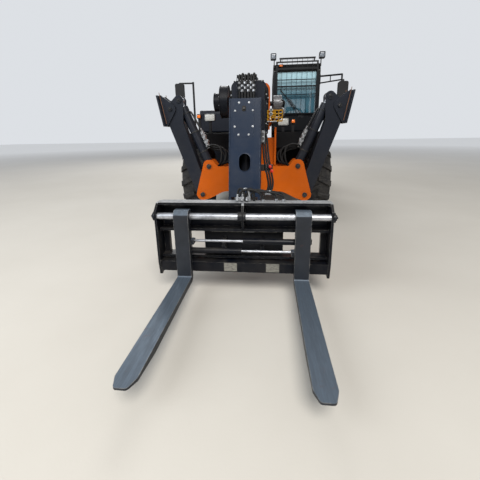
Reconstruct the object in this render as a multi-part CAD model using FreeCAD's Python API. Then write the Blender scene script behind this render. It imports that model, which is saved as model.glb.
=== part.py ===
import FreeCAD, Part
import math
import os

# Telehandler with two front stabilizers, in millimetres.
# It faces -Y, its left side (the cab's side) is +X, and +Z is up.
# All places along Y are counted from the front axle; save() moves the whole
# machine so that the middle of its length is at the origin.
# A place that goes with another piece is written from that piece's own size.

V = FreeCAD.Vector
SIDES = (("left", 1), ("right", -1))

# Wheels and axles
TYRE_RADIUS = 650.0
TYRE_WIDTH = 400.0
CARCASS_RADIUS = 606.0
BEAD_RADIUS = 320.0
CARCASS_FLATS = 32
LUGS_PER_ROW = 16
RIM_WALL = 14.0
RIM_WIDTH = 330.0
HUB_RADIUS = 135.0
HUB_BACK = 70.0
TRACK_HALF = 1013.0
WHEELBASE = 3100.0
KINGPIN_X = 800.0
LUG_TOE = 88.0
LUG_TOP = math.sqrt(TYRE_RADIUS ** 2 - LUG_TOE ** 2)
# The tyre stands on the toes of its two lowest lugs, half a pitch less a toe from the bottom.
AXLE_Z = TYRE_RADIUS * math.cos(math.pi / LUGS_PER_ROW - math.asin(LUG_TOE / TYRE_RADIUS))
AXLE_BEAM_RADIUS = 95.0
DIFFERENTIAL_RADIUS = 185.0
YOKE_HALF = 196.0
YOKE_THICK = 40.0
TRUNNION_RADIUS = 35.0

# Frame
PLATE_INNER = 300.0
PLATE_THICK = 25.0
PLATE_OUTER = PLATE_INNER + PLATE_THICK
FRAME_BOTTOM = 520.0
FRAME_TOP = 1150.0
FRAME_ARCH = 840.0
OUTRIGGER_YS = (1000.0, 1800.0)
OUTRIGGER_SIZE = 100.0
OUTRIGGER_TOP = 800.0
OUTRIGGER_REACH = 1050.0
FRONT_FENDER_REACH, REAR_FENDER_REACH = 1080.0, 1193.0
FENDER_HALF, FENDER_TOP, FENDER_THICK = 560.0, 1420.0, 12.0
FRONT_LIP, REAR_LIP = 120.0, 80.0
COUNTERWEIGHT_GAP, COUNTERWEIGHT_DEPTH = 180.0, 270.0
COUNTERWEIGHT_FRONT = WHEELBASE + TYRE_RADIUS + COUNTERWEIGHT_GAP
REAR_REACH = COUNTERWEIGHT_FRONT + COUNTERWEIGHT_DEPTH
COUNTERWEIGHT_HALF, COUNTERWEIGHT_CUT = 1040.0, 110.0
COUNTERWEIGHT_LOW, COUNTERWEIGHT_TOP = 560.0, 1290.0
JAW_HALF, JAW_DEPTH = 110.0, 130.0
JAW_LOW, JAW_HIGH, JAW_LID = 600.0, 700.0, 760.0
TOW_BORE = 16.0
TANK_INNER, TANK_OUTER, TANK_LOW = 430.0, 1030.0, 440.0
TANK_GAP = 270.0
STRAP_WIDTH, STRAP_THICK = 45.0, 5.0

# Stabilizers: places in the vertical plane across the machine (x, z)
STAB_Y = -1026.0
LEG_PIVOT = (734.0, 549.0)
RAM_BASE = (626.0, 956.0)
RAM_TOP = (1015.0, 1855.0)
FOOT_PIN = (1136.0, 1739.0)
LEG_DEPTH = 170.0
LEG_ROOT_HALF = 84.0
LEG_HALF_WIDTH = 100.0
CHEEK_THICK = 17.0
CHEEK_GAP = LEG_DEPTH - 2 * CHEEK_THICK
HEAD_EAR = 64.0
FOOT_CHEEK = 16.0
SOLE_HALF_LENGTH = 205.0
SOLE_OFFSET = 118.0
SOLE_THICK = 22.0
SOLE_WIDTH = 280.0
BRACKET_HALF_GAP = 90.0
BRACKET_THICK = 20.0
STAB_BARREL_RADIUS = 60.0
STAB_ROD_RADIUS = 34.0
STAB_MOUTH = 880.0
GLAND_PROUD = 3.0
PIN_RADIUS = 28.0

# Boom: a box telescope of three sections
BOOM_Z = 1660.0
SECTION_WALL = 10.0
OUTER_WIDTH, OUTER_HEIGHT, OUTER_ROUND = 410.0, 590.0, 80.0
MID_WIDTH, MID_HEIGHT, MID_ROUND = 374.0, 554.0, 68.0
INNER_WIDTH, INNER_HEIGHT, INNER_ROUND = 338.0, 518.0, 56.0
MOUTH_LENGTH = 60.0
BOOM_PIVOT = (WHEELBASE + 350.0, 1700.0)
OUTER_MOUTH, OUTER_REAR = -1500.0, BOOM_PIVOT[0] + 190.0
MID_MOUTH, MID_REAR = OUTER_MOUTH - 376.0, OUTER_REAR - 440.0
INNER_MOUTH, INNER_REAR = MID_MOUTH - 124.0, MID_REAR - 100.0
BOOM_PIN_RADIUS = 60.0
BOOM_BOSS_RADIUS = 100.0

# Lift cylinder, in the upright middle plane (y, z)
LIFT_BASE = (WHEELBASE - 350.0, 720.0)
LIFT_TOP = (LIFT_BASE[0] - 1650.0, 1300.0)
LIFT_PIN_RADIUS = 42.0
LIFT_BARREL_RADIUS = 85.0
LIFT_ROD_RADIUS = 50.0
LIFT_MOUTH = 1500.0
LIFT_EYE_HALF = 60.0

# Boom head and tilt cylinder (y, z)
HEAD_WIDTH = 292.0
HEAD_CHEEK = 24.0
HEAD_PLATE = 16.0
HEAD_TOP = (INNER_MOUTH - 419.0, 1707.0)
HEAD_FOOT = (INNER_MOUTH - 624.0, 832.0)
WINDOW_RADIUS, WINDOW_ZS = 52.0, (1167.0, 1114.0)
TILT_PIVOT = (INNER_MOUTH - 640.0, 360.0)
TILT_NOSE_RADIUS = 88.0
TILT_PIN_RADIUS = 32.0
TILT_BASE = (INNER_MOUTH - 330.0, 1480.0)
TILT_TOP = (TILT_PIVOT[0] + 204.0, 215.0)
TILT_BARREL_RADIUS = 55.0
TILT_ROD_RADIUS = 32.0
TILT_MOUTH = 730.0
TILT_EYE_HALF = 30.0

# Carriage and forks
CARRIAGE_HALF = 749.0
CARRIAGE_BACK = TILT_PIVOT[0] - 110.0
SHAFT_Y = CARRIAGE_BACK - 150.0
CARRIAGE_FRONT = SHAFT_Y + 35.0
SIDE_FRONT = SHAFT_Y - 35.0
CARRIAGE_TOP = 833.0
CARRIAGE_BOTTOM = 180.0
SIDE_THICK = 20.0
RAIL_THICK = 22.0
MID_RAIL, LOW_RAIL = 580.0, 330.0
BEAM_LOW, BEAM_HIGH = 222.0, 312.0
UPRIGHTS = ((482.0, 590.0), (678.0, 729.0))
UPRIGHT_DEPTH = 40.0
HITCH_HALF = 355.0
EAR_GAP, EAR_THICK = 10.0, 30.0
LEVER_THICK = 20.0
SHAFT_Z = 722.0
SHAFT_RADIUS = 29.0
FORK_X = 505.0
FORK_WIDTH = 125.0
SHANK_BACK = SHAFT_Y - 24.0
SHANK_FRONT = SHANK_BACK - 57.0
BLADE_TOP = 190.0
BLADE_THICK = 50.0
BLADE_TIP_THICK = 14.0
FORK_LENGTH = 1150.0
POSITIONER_Y = SHAFT_Y + 10.0
POSITIONER_RADIUS = 26.0
POSITIONER_ROD = 11.0
POSITIONER_ZS = (500.0, 408.0)
POSITIONER_MOUTH, POSITIONER_END = 8.0, 580.0

# Cab, engine pod and mirrors
CAB_INNER, CAB_STEP, CAB_OUTER = 290.0, 335.0, 1098.0
CAB_STEP_Z = 1300.0
CAB_FRONT, CAB_REAR = 300.0, 1900.0
CAB_FLOOR, CAB_TOP, ROOF_THICK = 800.0, 2560.0, 80.0
CAB_WALL = 40.0
ARCH_Y, ARCH_Z = 900.0, 1420.0
DOOR_FRONT, DOOR_REAR = 950.0, 1760.0
DOOR_SILL, DOOR_HEAD = 860.0, 2420.0
DOOR_THICK = 36.0
HINGE_RADIUS, HINGE_PIN, HINGE_LENGTH = 12.0, 6.0, 90.0
HINGE_ZS = (1100.0, 2100.0)
GLASS = 6.0
POST = 60.0
WINDOWS_LOW, WINDOWS_HIGH = 1500.0, 2400.0
WINDSCREEN_LOW, WINDSCREEN_HIGH = 1745.0, 2425.0
REAR_WINDOW_HIGH = 2150.0
GUARD_Y = CAB_FRONT - 46.0
GUARD_DEPTH = 14.0
GUARD_LOW, GUARD_TOP = 1725.0, 2638.0
GUARD_BARS = (  # height of the bar's middle, its own height, how much shorter at each end
    (2625.0, 26.0, 40.0), (2570.0, 22.0, 0.0), (2466.0, 28.0, 0.0), (2290.0, 12.0, 0.0),
    (2183.0, 24.0, 0.0), (2050.0, 12.0, 0.0), (1735.0, 20.0, 0.0),
)
GUARD_RODS = 7
SEAT_X = (CAB_INNER + CAB_OUTER) / 2 + 20
SEAT_HALF = 240.0
POD_INNER, POD_OUTER = 345.0, 1100.0
POD_FRONT, POD_REAR = 905.0, WHEELBASE - TYRE_RADIUS - 160.0
POD_NOSE, POD_CREST = 520.0, 1500.0
POD_TOP = 1850.0
POD_WALL = 30.0
GRILLE_FRONT, GRILLE_REAR = POD_REAR - 810.0, POD_REAR - 120.0
GRILLE_LOW, GRILLE_HIGH = 1130.0, 1620.0
GRILLE_RECESS, GRILLE_SLOTS = 8.0, 9
REAR_SLOTS = 6
MIRROR_REACH = 1500.0
LAMPS = (  # x, y, z, width, height
    (446.0, -400.0, 1572.0, 165.0, 110.0), (601.0, -400.0, 1577.0, 70.0, 70.0),
    (-725.0, -400.0, 1660.0, 165.0, 110.0), (-900.0, -400.0, 1680.0, 70.0, 70.0),
)
WORK_LAMPS = (288.0, 1100.0)

# Running clearances
PIN_PLAY = 0.5
SEAT_PLAY = 0.3
SIDE_PLAY = 5.0
PANEL_GAP = 6.0
REAR_LAMP_PROUD = 20.0
FRONT_REACH = -SHANK_FRONT + FORK_LENGTH
MIDDLE_SHIFT = (FRONT_REACH - REAR_REACH - REAR_LAMP_PROUD) / 2


def at(axis, u, v, w=0.0):
    """Point (u, v) of the plane square to the axis, w along the axis."""
    return {"x": V(w, u, v), "y": V(u, w, v), "z": V(u, v, w)}[axis]


def outline(axis, rows, level):
    """Closed wire through rows of (u, v, corner radius)."""
    corners = []
    for number, (u, v, radius) in enumerate(rows):
        here = at(axis, u, v, level)
        if radius == 0:
            corners.append((here, None, here))
            continue
        before = (at(axis, *rows[number - 1][:2], level) - here).normalize()
        after = (at(axis, *rows[(number + 1) % len(rows)][:2], level) - here).normalize()
        half = before.getAngle(after) / 2
        run = radius / math.tan(half)
        centre = here + (before + after).normalize() * (radius / math.sin(half))
        middle = centre + (here - centre).normalize() * radius
        corners.append((here + before * run, middle, here + after * run))
    edges = []
    for number, (first, middle, last) in enumerate(corners):
        if middle:
            edges.append(Part.Arc(first, middle, last).toShape())
        following = corners[(number + 1) % len(corners)][0]
        if last.distanceToPoint(following) > 0.001:
            edges.append(Part.makeLine(last, following))
    return Part.Wire(edges)


def slab(axis, rows, low, high):
    """Prism of a rounded outline from low to high along the axis."""
    return Part.Face(outline(axis, rows, low)).extrude(at(axis, 0, 0, high - low))


def block(x0, x1, y0, y1, z0, z1):
    return Part.makeBox(x1 - x0, y1 - y0, z1 - z0, V(x0, y0, z0))


def bar(start, end, radius):
    """Round bar between two points."""
    return Part.makeCylinder(radius, start.distanceToPoint(end), start, end - start)


def disc(axis, centre, radius, low, high):
    """Round bar along the axis at the in-plane place centre."""
    return Part.makeCylinder(radius, high - low, at(axis, *centre, low), at(axis, 0, 0, 1))


def link(axis, a, radius_a, b, radius_b, low, high):
    """Tapered bar with round ends about the in-plane places a and b."""
    along = math.atan2(b[1] - a[1], b[0] - a[0])
    spread = math.acos((radius_a - radius_b) / math.dist(a, b))

    def rim(centre, radius, angle):
        return at(axis, centre[0] + radius * math.cos(angle),
                  centre[1] + radius * math.sin(angle), low)

    edges = [
        Part.makeLine(rim(a, radius_a, along + spread), rim(b, radius_b, along + spread)),
        Part.Arc(rim(b, radius_b, along + spread), rim(b, radius_b, along),
                 rim(b, radius_b, along - spread)).toShape(),
        Part.makeLine(rim(b, radius_b, along - spread), rim(a, radius_a, along - spread)),
        Part.Arc(rim(a, radius_a, along - spread), rim(a, radius_a, along + math.pi),
                 rim(a, radius_a, along + spread)).toShape(),
    ]
    return Part.Face(Part.Wire(edges)).extrude(at(axis, 0, 0, high - low))


def pair(make, inner, outer):
    """Two like plates, mirrored about the plane halfway: make(low, high) at +/- inner..outer."""
    return [make(inner, outer), make(-outer, -inner)]


def fuse(*pieces):
    return pieces[0].multiFuse(list(pieces[1:])).removeSplitter()


def mirrored(shape):
    return shape.mirror(V(0, 0, 0), V(1, 0, 0))


def on_side(shape, sign):
    """The shape as drawn for the left side, or its mirror image for the right."""
    return shape if sign > 0 else mirrored(shape)


def group(shapes):
    return Part.makeCompound(shapes)


def save(name, shape):
    moved = shape.copy()
    moved.translate(V(0, MIDDLE_SHIFT, 0))
    moved.exportStep("parts/" + name + ".step")


def along(a, b, distance):
    """Place on the line from a towards b."""
    share = distance / math.dist(a, b)
    return (a[0] + (b[0] - a[0]) * share, a[1] + (b[1] - a[1]) * share)


def ram_barrel(axis, base, top, radius, rod_radius, mouth, eye_half, pin_radius, level=0.0):
    """Cylinder barrel with its base eye on the base pin and its bore open at the mouth."""
    start = at(axis, *along(base, top, pin_radius + 10), level)
    end = at(axis, *along(base, top, mouth), level)
    floor = at(axis, *along(base, top, pin_radius * 2 + 30), level)
    eye = disc(axis, base, pin_radius * 2, level - eye_half, level + eye_half)
    gland = bar(at(axis, *along(base, top, mouth - 60), level), end, radius + GLAND_PROUD)
    solid = fuse(eye, bar(start, end, radius), gland)
    pin_hole = disc(axis, base, pin_radius + PIN_PLAY, level - eye_half, level + eye_half)
    return solid.cut(pin_hole).cut(bar(floor, end, rod_radius + 1))


def ram_rod(axis, base, top, radius, tail, eye_radius, eye_half, level=0.0):
    """Cylinder rod from its tail inside the barrel to the eye at its tip."""
    shaft = bar(at(axis, *along(base, top, tail), level), at(axis, *top, level), radius)
    return fuse(shaft, disc(axis, top, eye_radius, level - eye_half, level + eye_half))


def side_plate():
    """Left frame plate: low between the axles, arched over them, tall at both ends."""
    rows = (
        (-916, FRAME_BOTTOM + 40, 0), (-916, 962, 0), (-1010, 962, 0), (-1010, 1480, 20),
        (-880, 1480, 60), (-560, FRAME_TOP, 200), (WHEELBASE - 540, FRAME_TOP, 260),
        (WHEELBASE + 30, 1930, 240), (BOOM_PIVOT[0] - 160, BOOM_PIVOT[1] + 170, 90),
        (BOOM_PIVOT[0] + 160, BOOM_PIVOT[1] + 170, 120), (BOOM_PIVOT[0] + 310, 1240, 120),
        (COUNTERWEIGHT_FRONT, 1240, 0), (COUNTERWEIGHT_FRONT, 620, 0),
        (WHEELBASE + 420, 620, 80), (WHEELBASE + 300, FRAME_ARCH, 100),
        (WHEELBASE - 300, FRAME_ARCH, 100), (WHEELBASE - 420, FRAME_BOTTOM, 80),
        (420, FRAME_BOTTOM, 80), (300, FRAME_ARCH, 100), (-300, FRAME_ARCH, 100),
        (-420, FRAME_BOTTOM + 40, 80),
    )
    return slab("x", rows, PLATE_INNER, PLATE_OUTER)


def frame_side():
    """Frame plate with its pivot boss and the two outrigger beams."""
    beams = [block(PLATE_OUTER, OUTRIGGER_REACH, y - OUTRIGGER_SIZE / 2, y + OUTRIGGER_SIZE / 2,
                   OUTRIGGER_TOP - OUTRIGGER_SIZE, OUTRIGGER_TOP) for y in OUTRIGGER_YS]
    boss = disc("x", BOOM_PIVOT, BOOM_BOSS_RADIUS + 20, PLATE_OUTER, PLATE_OUTER + 25)
    solid = fuse(side_plate(), boss, *beams)
    return solid.cut(disc("x", BOOM_PIVOT, BOOM_PIN_RADIUS + SEAT_PLAY, PLATE_INNER,
                          PLATE_OUTER + 25))


def frame_cross():
    """What joins the two frame plates: saddle, belly, axle seats, rear wall and pins."""
    gap = PLATE_INNER
    saddle = block(-gap, gap, -916, -890, FRAME_BOTTOM + 40, 1340)
    seats = [block(-gap, gap, y - 130, y + 130, FRAME_ARCH, FRAME_ARCH + 60)
             for y in (0, WHEELBASE)]
    belly = block(-gap, gap, 440, WHEELBASE - 440, FRAME_BOTTOM, FRAME_BOTTOM + 20)
    rear = block(-gap, gap, COUNTERWEIGHT_FRONT - 25, COUNTERWEIGHT_FRONT, 620, 1240)
    boom_pin = disc("x", BOOM_PIVOT, BOOM_PIN_RADIUS, -PLATE_OUTER - 45, PLATE_OUTER + 45)
    lift_pin = disc("x", LIFT_BASE, LIFT_PIN_RADIUS, -gap, gap)
    return group([saddle, *seats, belly, rear, boom_pin, lift_pin])


def bracket_rows():
    """Half outline of the stabilizer bracket, ear by ear, then mirrored (x, z, radius)."""
    half = (
        (500, 955, 40), (570, 1046, 60), (690, 1046, 70), (838, 520, 80),
        (745, 452, 60), (610, 500, 60), (430, 590, 200), (150, 622, 200),
    )
    return half + tuple((-x, z, r) for x, z, r in reversed(half))


def front_bracket():
    """Two plates across the machine with the leg and cylinder pins between them."""
    plates = [slab("y", bracket_rows(), STAB_Y + low, STAB_Y + high)
              for low, high in ((-BRACKET_HALF_GAP - BRACKET_THICK, -BRACKET_HALF_GAP),
                                (BRACKET_HALF_GAP, BRACKET_HALF_GAP + BRACKET_THICK))]
    outer = BRACKET_HALF_GAP + BRACKET_THICK + 12
    pins = [disc("y", (sign * x, z), PIN_RADIUS, STAB_Y - outer, STAB_Y + outer)
            for x, z in (LEG_PIVOT, RAM_BASE) for _, sign in SIDES]
    webs = [block(*sorted((sign * 400, sign * 420)), STAB_Y - BRACKET_HALF_GAP,
                  STAB_Y + BRACKET_HALF_GAP, 600, 940) for _, sign in SIDES]
    return fuse(*plates, *webs, *pins)


def leg_end():
    """Place on the leg's middle line where its beam ends and its cheeks begin."""
    return along(FOOT_PIN, LEG_PIVOT, 210)


def stabilizer_leg():
    """Leg beam with two head cheeks that hold the rod's eye and the foot's pin."""
    half = LEG_DEPTH / 2
    y0, y1 = STAB_Y - half, STAB_Y + half
    beam = link("y", LEG_PIVOT, LEG_ROOT_HALF, leg_end(), LEG_HALF_WIDTH, y0, y1)
    cheeks = []
    for low in (CHEEK_GAP / 2, -CHEEK_GAP / 2 - CHEEK_THICK):
        a, b = STAB_Y + low, STAB_Y + low + CHEEK_THICK
        cheeks += [link("y", leg_end(), LEG_HALF_WIDTH, FOOT_PIN, HEAD_EAR, a, b),
                   link("y", leg_end(), LEG_HALF_WIDTH, RAM_TOP, HEAD_EAR, a, b),
                   link("y", FOOT_PIN, HEAD_EAR, RAM_TOP, HEAD_EAR, a, b)]
    foot_pin = disc("y", FOOT_PIN, PIN_RADIUS, y0 - 34, y1 + 34)
    bosses = [disc("y", RAM_TOP, 40, *span) for span in
              ((y0 - 12, STAB_Y - CHEEK_GAP / 2), (STAB_Y + CHEEK_GAP / 2, y1 + 12))]
    solid = fuse(beam, *cheeks, foot_pin, *bosses)
    return solid.cut(disc("y", LEG_PIVOT, PIN_RADIUS + PIN_PLAY, y0, y1))


def sole_frame():
    """Middle of the sole, and its directions along the sole and outward."""
    tip, heel = V(1262, 0, 1950), V(1188, 0, 1548)
    run = (tip - heel).normalize()
    out = V(run.z, 0, -run.x)
    pin = V(FOOT_PIN[0], 0, FOOT_PIN[1])
    return pin + out * SOLE_OFFSET, run, out


def stabilizer_foot():
    """Sole plate with two cheeks outside the leg's head."""
    middle, run, out = sole_frame()
    ends = [middle + run * reach for reach in (SOLE_HALF_LENGTH, -SOLE_HALF_LENGTH)]
    corners = ends + [end + out * SOLE_THICK for end in reversed(ends)]
    sole = slab("y", [(corner.x, corner.z, 0) for corner in corners],
                STAB_Y - SOLE_WIDTH / 2, STAB_Y + SOLE_WIDTH / 2)
    inner = LEG_DEPTH / 2 + SIDE_PLAY
    cheeks = []
    for low in (inner, -inner - FOOT_CHEEK):
        a, b = STAB_Y + low, STAB_Y + low + FOOT_CHEEK
        near = [point - run * 25 * sign for point, sign in zip(ends, (1, -1))]
        cheeks += [link("y", FOOT_PIN, 74, (point.x - out.x * 24, point.z - out.z * 24), 24, a, b)
                   for point in near]
        base = [(point.x, point.z, 0) for point in near]
        cheeks.append(slab("y", base + [(FOOT_PIN[0], FOOT_PIN[1], 0)], a, b))
    holes = disc("y", FOOT_PIN, PIN_RADIUS + PIN_PLAY, STAB_Y - 200, STAB_Y + 200)
    return fuse(sole, *cheeks).cut(holes)


def section(width, height, rounding, front, rear):
    """Hollow boom section with rounded corners."""
    def prism(inset, low, high):
        w, h, r = width / 2 - inset, height / 2 - inset, rounding - inset
        rows = [(x, BOOM_Z + z, r) for x, z in ((-w, -h), (w, -h), (w, h), (-w, h))]
        return slab("y", rows, low, high)
    return prism(0, front, rear).cut(prism(SECTION_WALL, front - 1, rear + 1))


def mouth_ring(width, height, rounding, inner_width, inner_height, inner_round, front, rear):
    """Collar at a section's mouth: its opening guides the next section."""
    rows = [[(x * w / 2, BOOM_Z + z * h / 2, r) for x, z in ((-1, -1), (1, -1), (1, 1), (-1, 1))]
            for w, h, r in ((width, height, rounding),
                            (inner_width + 1, inner_height + 1, inner_round))]
    return slab("y", rows[0], front, rear).cut(slab("y", rows[1], front, rear))


def boom_outer():
    tube = section(OUTER_WIDTH, OUTER_HEIGHT, OUTER_ROUND, OUTER_MOUTH, OUTER_REAR)
    ring = mouth_ring(OUTER_WIDTH + 16, OUTER_HEIGHT + 16, OUTER_ROUND + 8,
                      MID_WIDTH, MID_HEIGHT, MID_ROUND, OUTER_MOUTH - MOUTH_LENGTH, OUTER_MOUTH)
    boss = disc("x", BOOM_PIVOT, BOOM_BOSS_RADIUS, -PLATE_INNER + SIDE_PLAY,
                PLATE_INNER - SIDE_PLAY)
    bottom = BOOM_Z - OUTER_HEIGHT / 2
    lug_rows = ((LIFT_TOP[0] - 340, bottom, 0), (LIFT_TOP[0] + 340, bottom, 0),
                (LIFT_TOP[0] + 70, LIFT_TOP[1] - 75, 60), (LIFT_TOP[0] - 70, LIFT_TOP[1] - 75, 60))
    gap = LIFT_EYE_HALF + SIDE_PLAY
    lugs = pair(lambda low, high: slab("x", lug_rows, low, high), gap, gap + 28)
    bosses = pair(lambda low, high: disc("x", LIFT_TOP, 55, low, high), gap + 28, gap + 46)
    solid = fuse(tube, ring, boss, *lugs, *bosses)
    return solid.cut(disc("x", BOOM_PIVOT, BOOM_PIN_RADIUS + PIN_PLAY, -PLATE_INNER, PLATE_INNER))


def boom_mid():
    tube = section(MID_WIDTH, MID_HEIGHT, MID_ROUND, MID_MOUTH + MOUTH_LENGTH, MID_REAR)
    ring = mouth_ring(MID_WIDTH + 8, MID_HEIGHT + 8, MID_ROUND, INNER_WIDTH, INNER_HEIGHT,
                      INNER_ROUND, MID_MOUTH, MID_MOUTH + MOUTH_LENGTH)
    return fuse(tube, ring)


def boom_inner():
    tube = section(INNER_WIDTH, INNER_HEIGHT, INNER_ROUND, INNER_MOUTH, INNER_REAR)
    w, h = INNER_WIDTH / 2, INNER_HEIGHT / 2
    rows = [(x, BOOM_Z + z, INNER_ROUND) for x, z in ((-w, -h), (w, -h), (w, h), (-w, h))]
    return fuse(tube, slab("y", rows, INNER_MOUTH - SECTION_WALL, INNER_MOUTH))


def boom_head():
    """Drop head: leaning front plate with an oval window between two cheeks."""
    rear = INNER_MOUTH - SECTION_WALL
    low, high = BOOM_Z - INNER_HEIGHT / 2 + 10, HEAD_TOP[1] + 30
    y, z = TILT_PIVOT
    nose = TILT_NOSE_RADIUS
    cheek_rows = (
        (rear, high, 0), (HEAD_TOP[0], HEAD_TOP[1], 0), (HEAD_FOOT[0], HEAD_FOOT[1], 0),
        (y - 50, z + 200, 90), (y - nose, z + 20, 60), (y - nose, z - nose, nose - 1),
        (y + nose, z - nose, nose - 1), (y + nose + 35, z + 200, 150),
        (rear - 190, low - 250, 160), (rear, low, 0),
    )
    outer = HEAD_WIDTH / 2
    cheeks = pair(lambda a, b: slab("x", cheek_rows, a, b), outer - HEAD_CHEEK, outer)
    plate_rows = ((HEAD_TOP[0], HEAD_TOP[1], 0), (HEAD_FOOT[0], HEAD_FOOT[1], 0),
                  (HEAD_FOOT[0] + HEAD_PLATE, HEAD_FOOT[1], 0),
                  (HEAD_TOP[0] + HEAD_PLATE, HEAD_TOP[1], 0))
    plate = slab("x", plate_rows, -outer, outer)
    lid_rows = ((rear, high, 0), (HEAD_TOP[0], HEAD_TOP[1], 0),
                (HEAD_TOP[0], HEAD_TOP[1] - 20, 0), (rear, high - 20, 0))
    lid = slab("x", lid_rows, -outer, outer)
    tilt_pin = disc("x", TILT_PIVOT, TILT_PIN_RADIUS, -outer - 56, outer + 56)
    base_pin = disc("x", TILT_BASE, TILT_PIN_RADIUS, -outer, outer)
    window = link("y", (0, WINDOW_ZS[0]), WINDOW_RADIUS, (0, WINDOW_ZS[1]), WINDOW_RADIUS,
                  HEAD_FOOT[0] - 76, HEAD_TOP[0] - 21)
    solid = fuse(*cheeks, plate, lid, tilt_pin, base_pin)
    return solid.cut(window)


def hose_reels():
    """Two drums on the boom's flank and the small ribbed drum on its other flank (x, z)."""
    centre = (-1200.0, 1803.0)
    flank = OUTER_WIDTH / 2
    big = disc("x", centre, 198, -flank - 205, -flank - 95)
    hub = disc("x", centre, 60, -flank - 95, -flank)
    small = disc("x", centre, 112, -flank - 290, -flank - 205)
    ribbed = disc("x", (-1200.0, 1770.0), 97, flank + 70, flank + 180)
    stub = disc("x", (-1200.0, 1770.0), 30, flank, flank + 70)
    return group([fuse(big, hub, small), fuse(ribbed, stub)])


def carriage_side_rows():
    """Carriage end plate seen from the side (y, z, radius)."""
    return ((CARRIAGE_BACK, CARRIAGE_TOP, 20), (CARRIAGE_FRONT, CARRIAGE_TOP, 20),
            (SIDE_FRONT, CARRIAGE_TOP - 60, 20), (SIDE_FRONT, 300, 30),
            (SIDE_FRONT + 20, CARRIAGE_BOTTOM - 6, 12), (CARRIAGE_BACK - 60, CARRIAGE_BOTTOM + 40, 20),
            (CARRIAGE_BACK, 300, 20))


def carriage_frame():
    """Welded carriage: end plates, rails, uprights, hitch ears and the tilt lever."""
    inner = CARRIAGE_HALF - SIDE_THICK
    sides = pair(lambda a, b: slab("x", carriage_side_rows(), a, b), inner, CARRIAGE_HALF)
    top_rail = slab("x", ((CARRIAGE_BACK, CARRIAGE_TOP, 0), (CARRIAGE_FRONT, CARRIAGE_TOP, 0),
                          (CARRIAGE_FRONT, CARRIAGE_TOP - RAIL_THICK, 0),
                          (CARRIAGE_BACK - RAIL_THICK, CARRIAGE_TOP - RAIL_THICK, 0),
                          (CARRIAGE_BACK - RAIL_THICK, MID_RAIL + 20, 0),
                          (CARRIAGE_BACK, MID_RAIL + 20, 0)), -inner, inner)
    mid_rail, low_rail = [block(-inner, inner, CARRIAGE_FRONT, CARRIAGE_BACK, z, z + RAIL_THICK)
                          for z in (MID_RAIL, LOW_RAIL)]
    beam = block(-inner, inner, SHANK_BACK + SEAT_PLAY, CARRIAGE_BACK - 30, BEAM_LOW, BEAM_HIGH)
    uprights = [block(*sorted((sign * low, sign * high)), CARRIAGE_BACK - UPRIGHT_DEPTH,
                      CARRIAGE_BACK, BEAM_LOW, MID_RAIL) for low, high in UPRIGHTS
                for sign in (1, -1)]
    rib = slab("x", ((CARRIAGE_BACK, CARRIAGE_TOP, 0), (SHAFT_Y, CARRIAGE_TOP, 30),
                     (SHAFT_Y - 42, SHAFT_Z, 40), (SHAFT_Y, MID_RAIL + 26, 20),
                     (CARRIAGE_BACK, MID_RAIL + 10, 0)), -2, 18)
    hitch = block(-HITCH_HALF, HITCH_HALF, CARRIAGE_BACK - RAIL_THICK, CARRIAGE_BACK, BEAM_LOW,
                  MID_RAIL + RAIL_THICK)
    ear_low = HEAD_WIDTH / 2 + EAR_GAP
    ears = pair(lambda a, b: fuse(link("x", TILT_PIVOT, 75, (CARRIAGE_BACK, 400), 105, a, b),
                                  link("x", TILT_PIVOT, 75, (CARRIAGE_BACK - 10, 300), 70, a, b)),
                ear_low, ear_low + EAR_THICK)
    lever_low = TILT_EYE_HALF + SIDE_PLAY
    levers = pair(lambda a, b: fuse(link("x", (CARRIAGE_BACK - 10, 300), 70, TILT_TOP, 48, a, b),
                                    disc("x", TILT_TOP, 40, a, b + 10) if a > 0
                                    else disc("x", TILT_TOP, 40, a - 10, b)),
                  lever_low, lever_low + LEVER_THICK)
    sides_of = tuple(zip(POSITIONER_ZS, (1, -1)))
    barrels = [positioner_barrel(z, sign) for z, sign in sides_of]
    brackets = [block(sign * POSITIONER_END - 10, sign * POSITIONER_END + 10, POSITIONER_Y,
                      CARRIAGE_BACK - UPRIGHT_DEPTH, z - 20, z + 20) for z, sign in sides_of]
    solid = fuse(*sides, top_rail, mid_rail, low_rail, beam, *uprights, rib, hitch, *ears,
                 *levers, *barrels, *brackets)
    seat = disc("x", (SHAFT_Y, SHAFT_Z), SHAFT_RADIUS + SEAT_PLAY, -CARRIAGE_HALF, CARRIAGE_HALF)
    ear_bore = disc("x", TILT_PIVOT, TILT_PIN_RADIUS + PIN_PLAY, -300, 300)
    return solid.cut(seat).cut(ear_bore)


def positioner_barrel(z, sign):
    """Fork positioner barrel along X, open at its mouth near the middle."""
    low, high = sorted((sign * POSITIONER_MOUTH, sign * POSITIONER_END))
    tube = disc("x", (POSITIONER_Y, z), POSITIONER_RADIUS, low, high)
    bore_low, bore_high = sorted((sign * (POSITIONER_MOUTH - 5), sign * (POSITIONER_END - 15)))
    return tube.cut(disc("x", (POSITIONER_Y, z), POSITIONER_ROD + 1, bore_low, bore_high))


def fork_shaft():
    shaft = disc("x", (SHAFT_Y, SHAFT_Z), SHAFT_RADIUS, -CARRIAGE_HALF - 14, CARRIAGE_HALF + 14)
    collars = [disc("x", (SHAFT_Y, SHAFT_Z), SHAFT_RADIUS + 12, low, high)
               for low, high in ((-34, -2), (18, 34), (CARRIAGE_HALF, CARRIAGE_HALF + 14),
                                 (-CARRIAGE_HALF - 14, -CARRIAGE_HALF))]
    return fuse(shaft, *collars)


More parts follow.
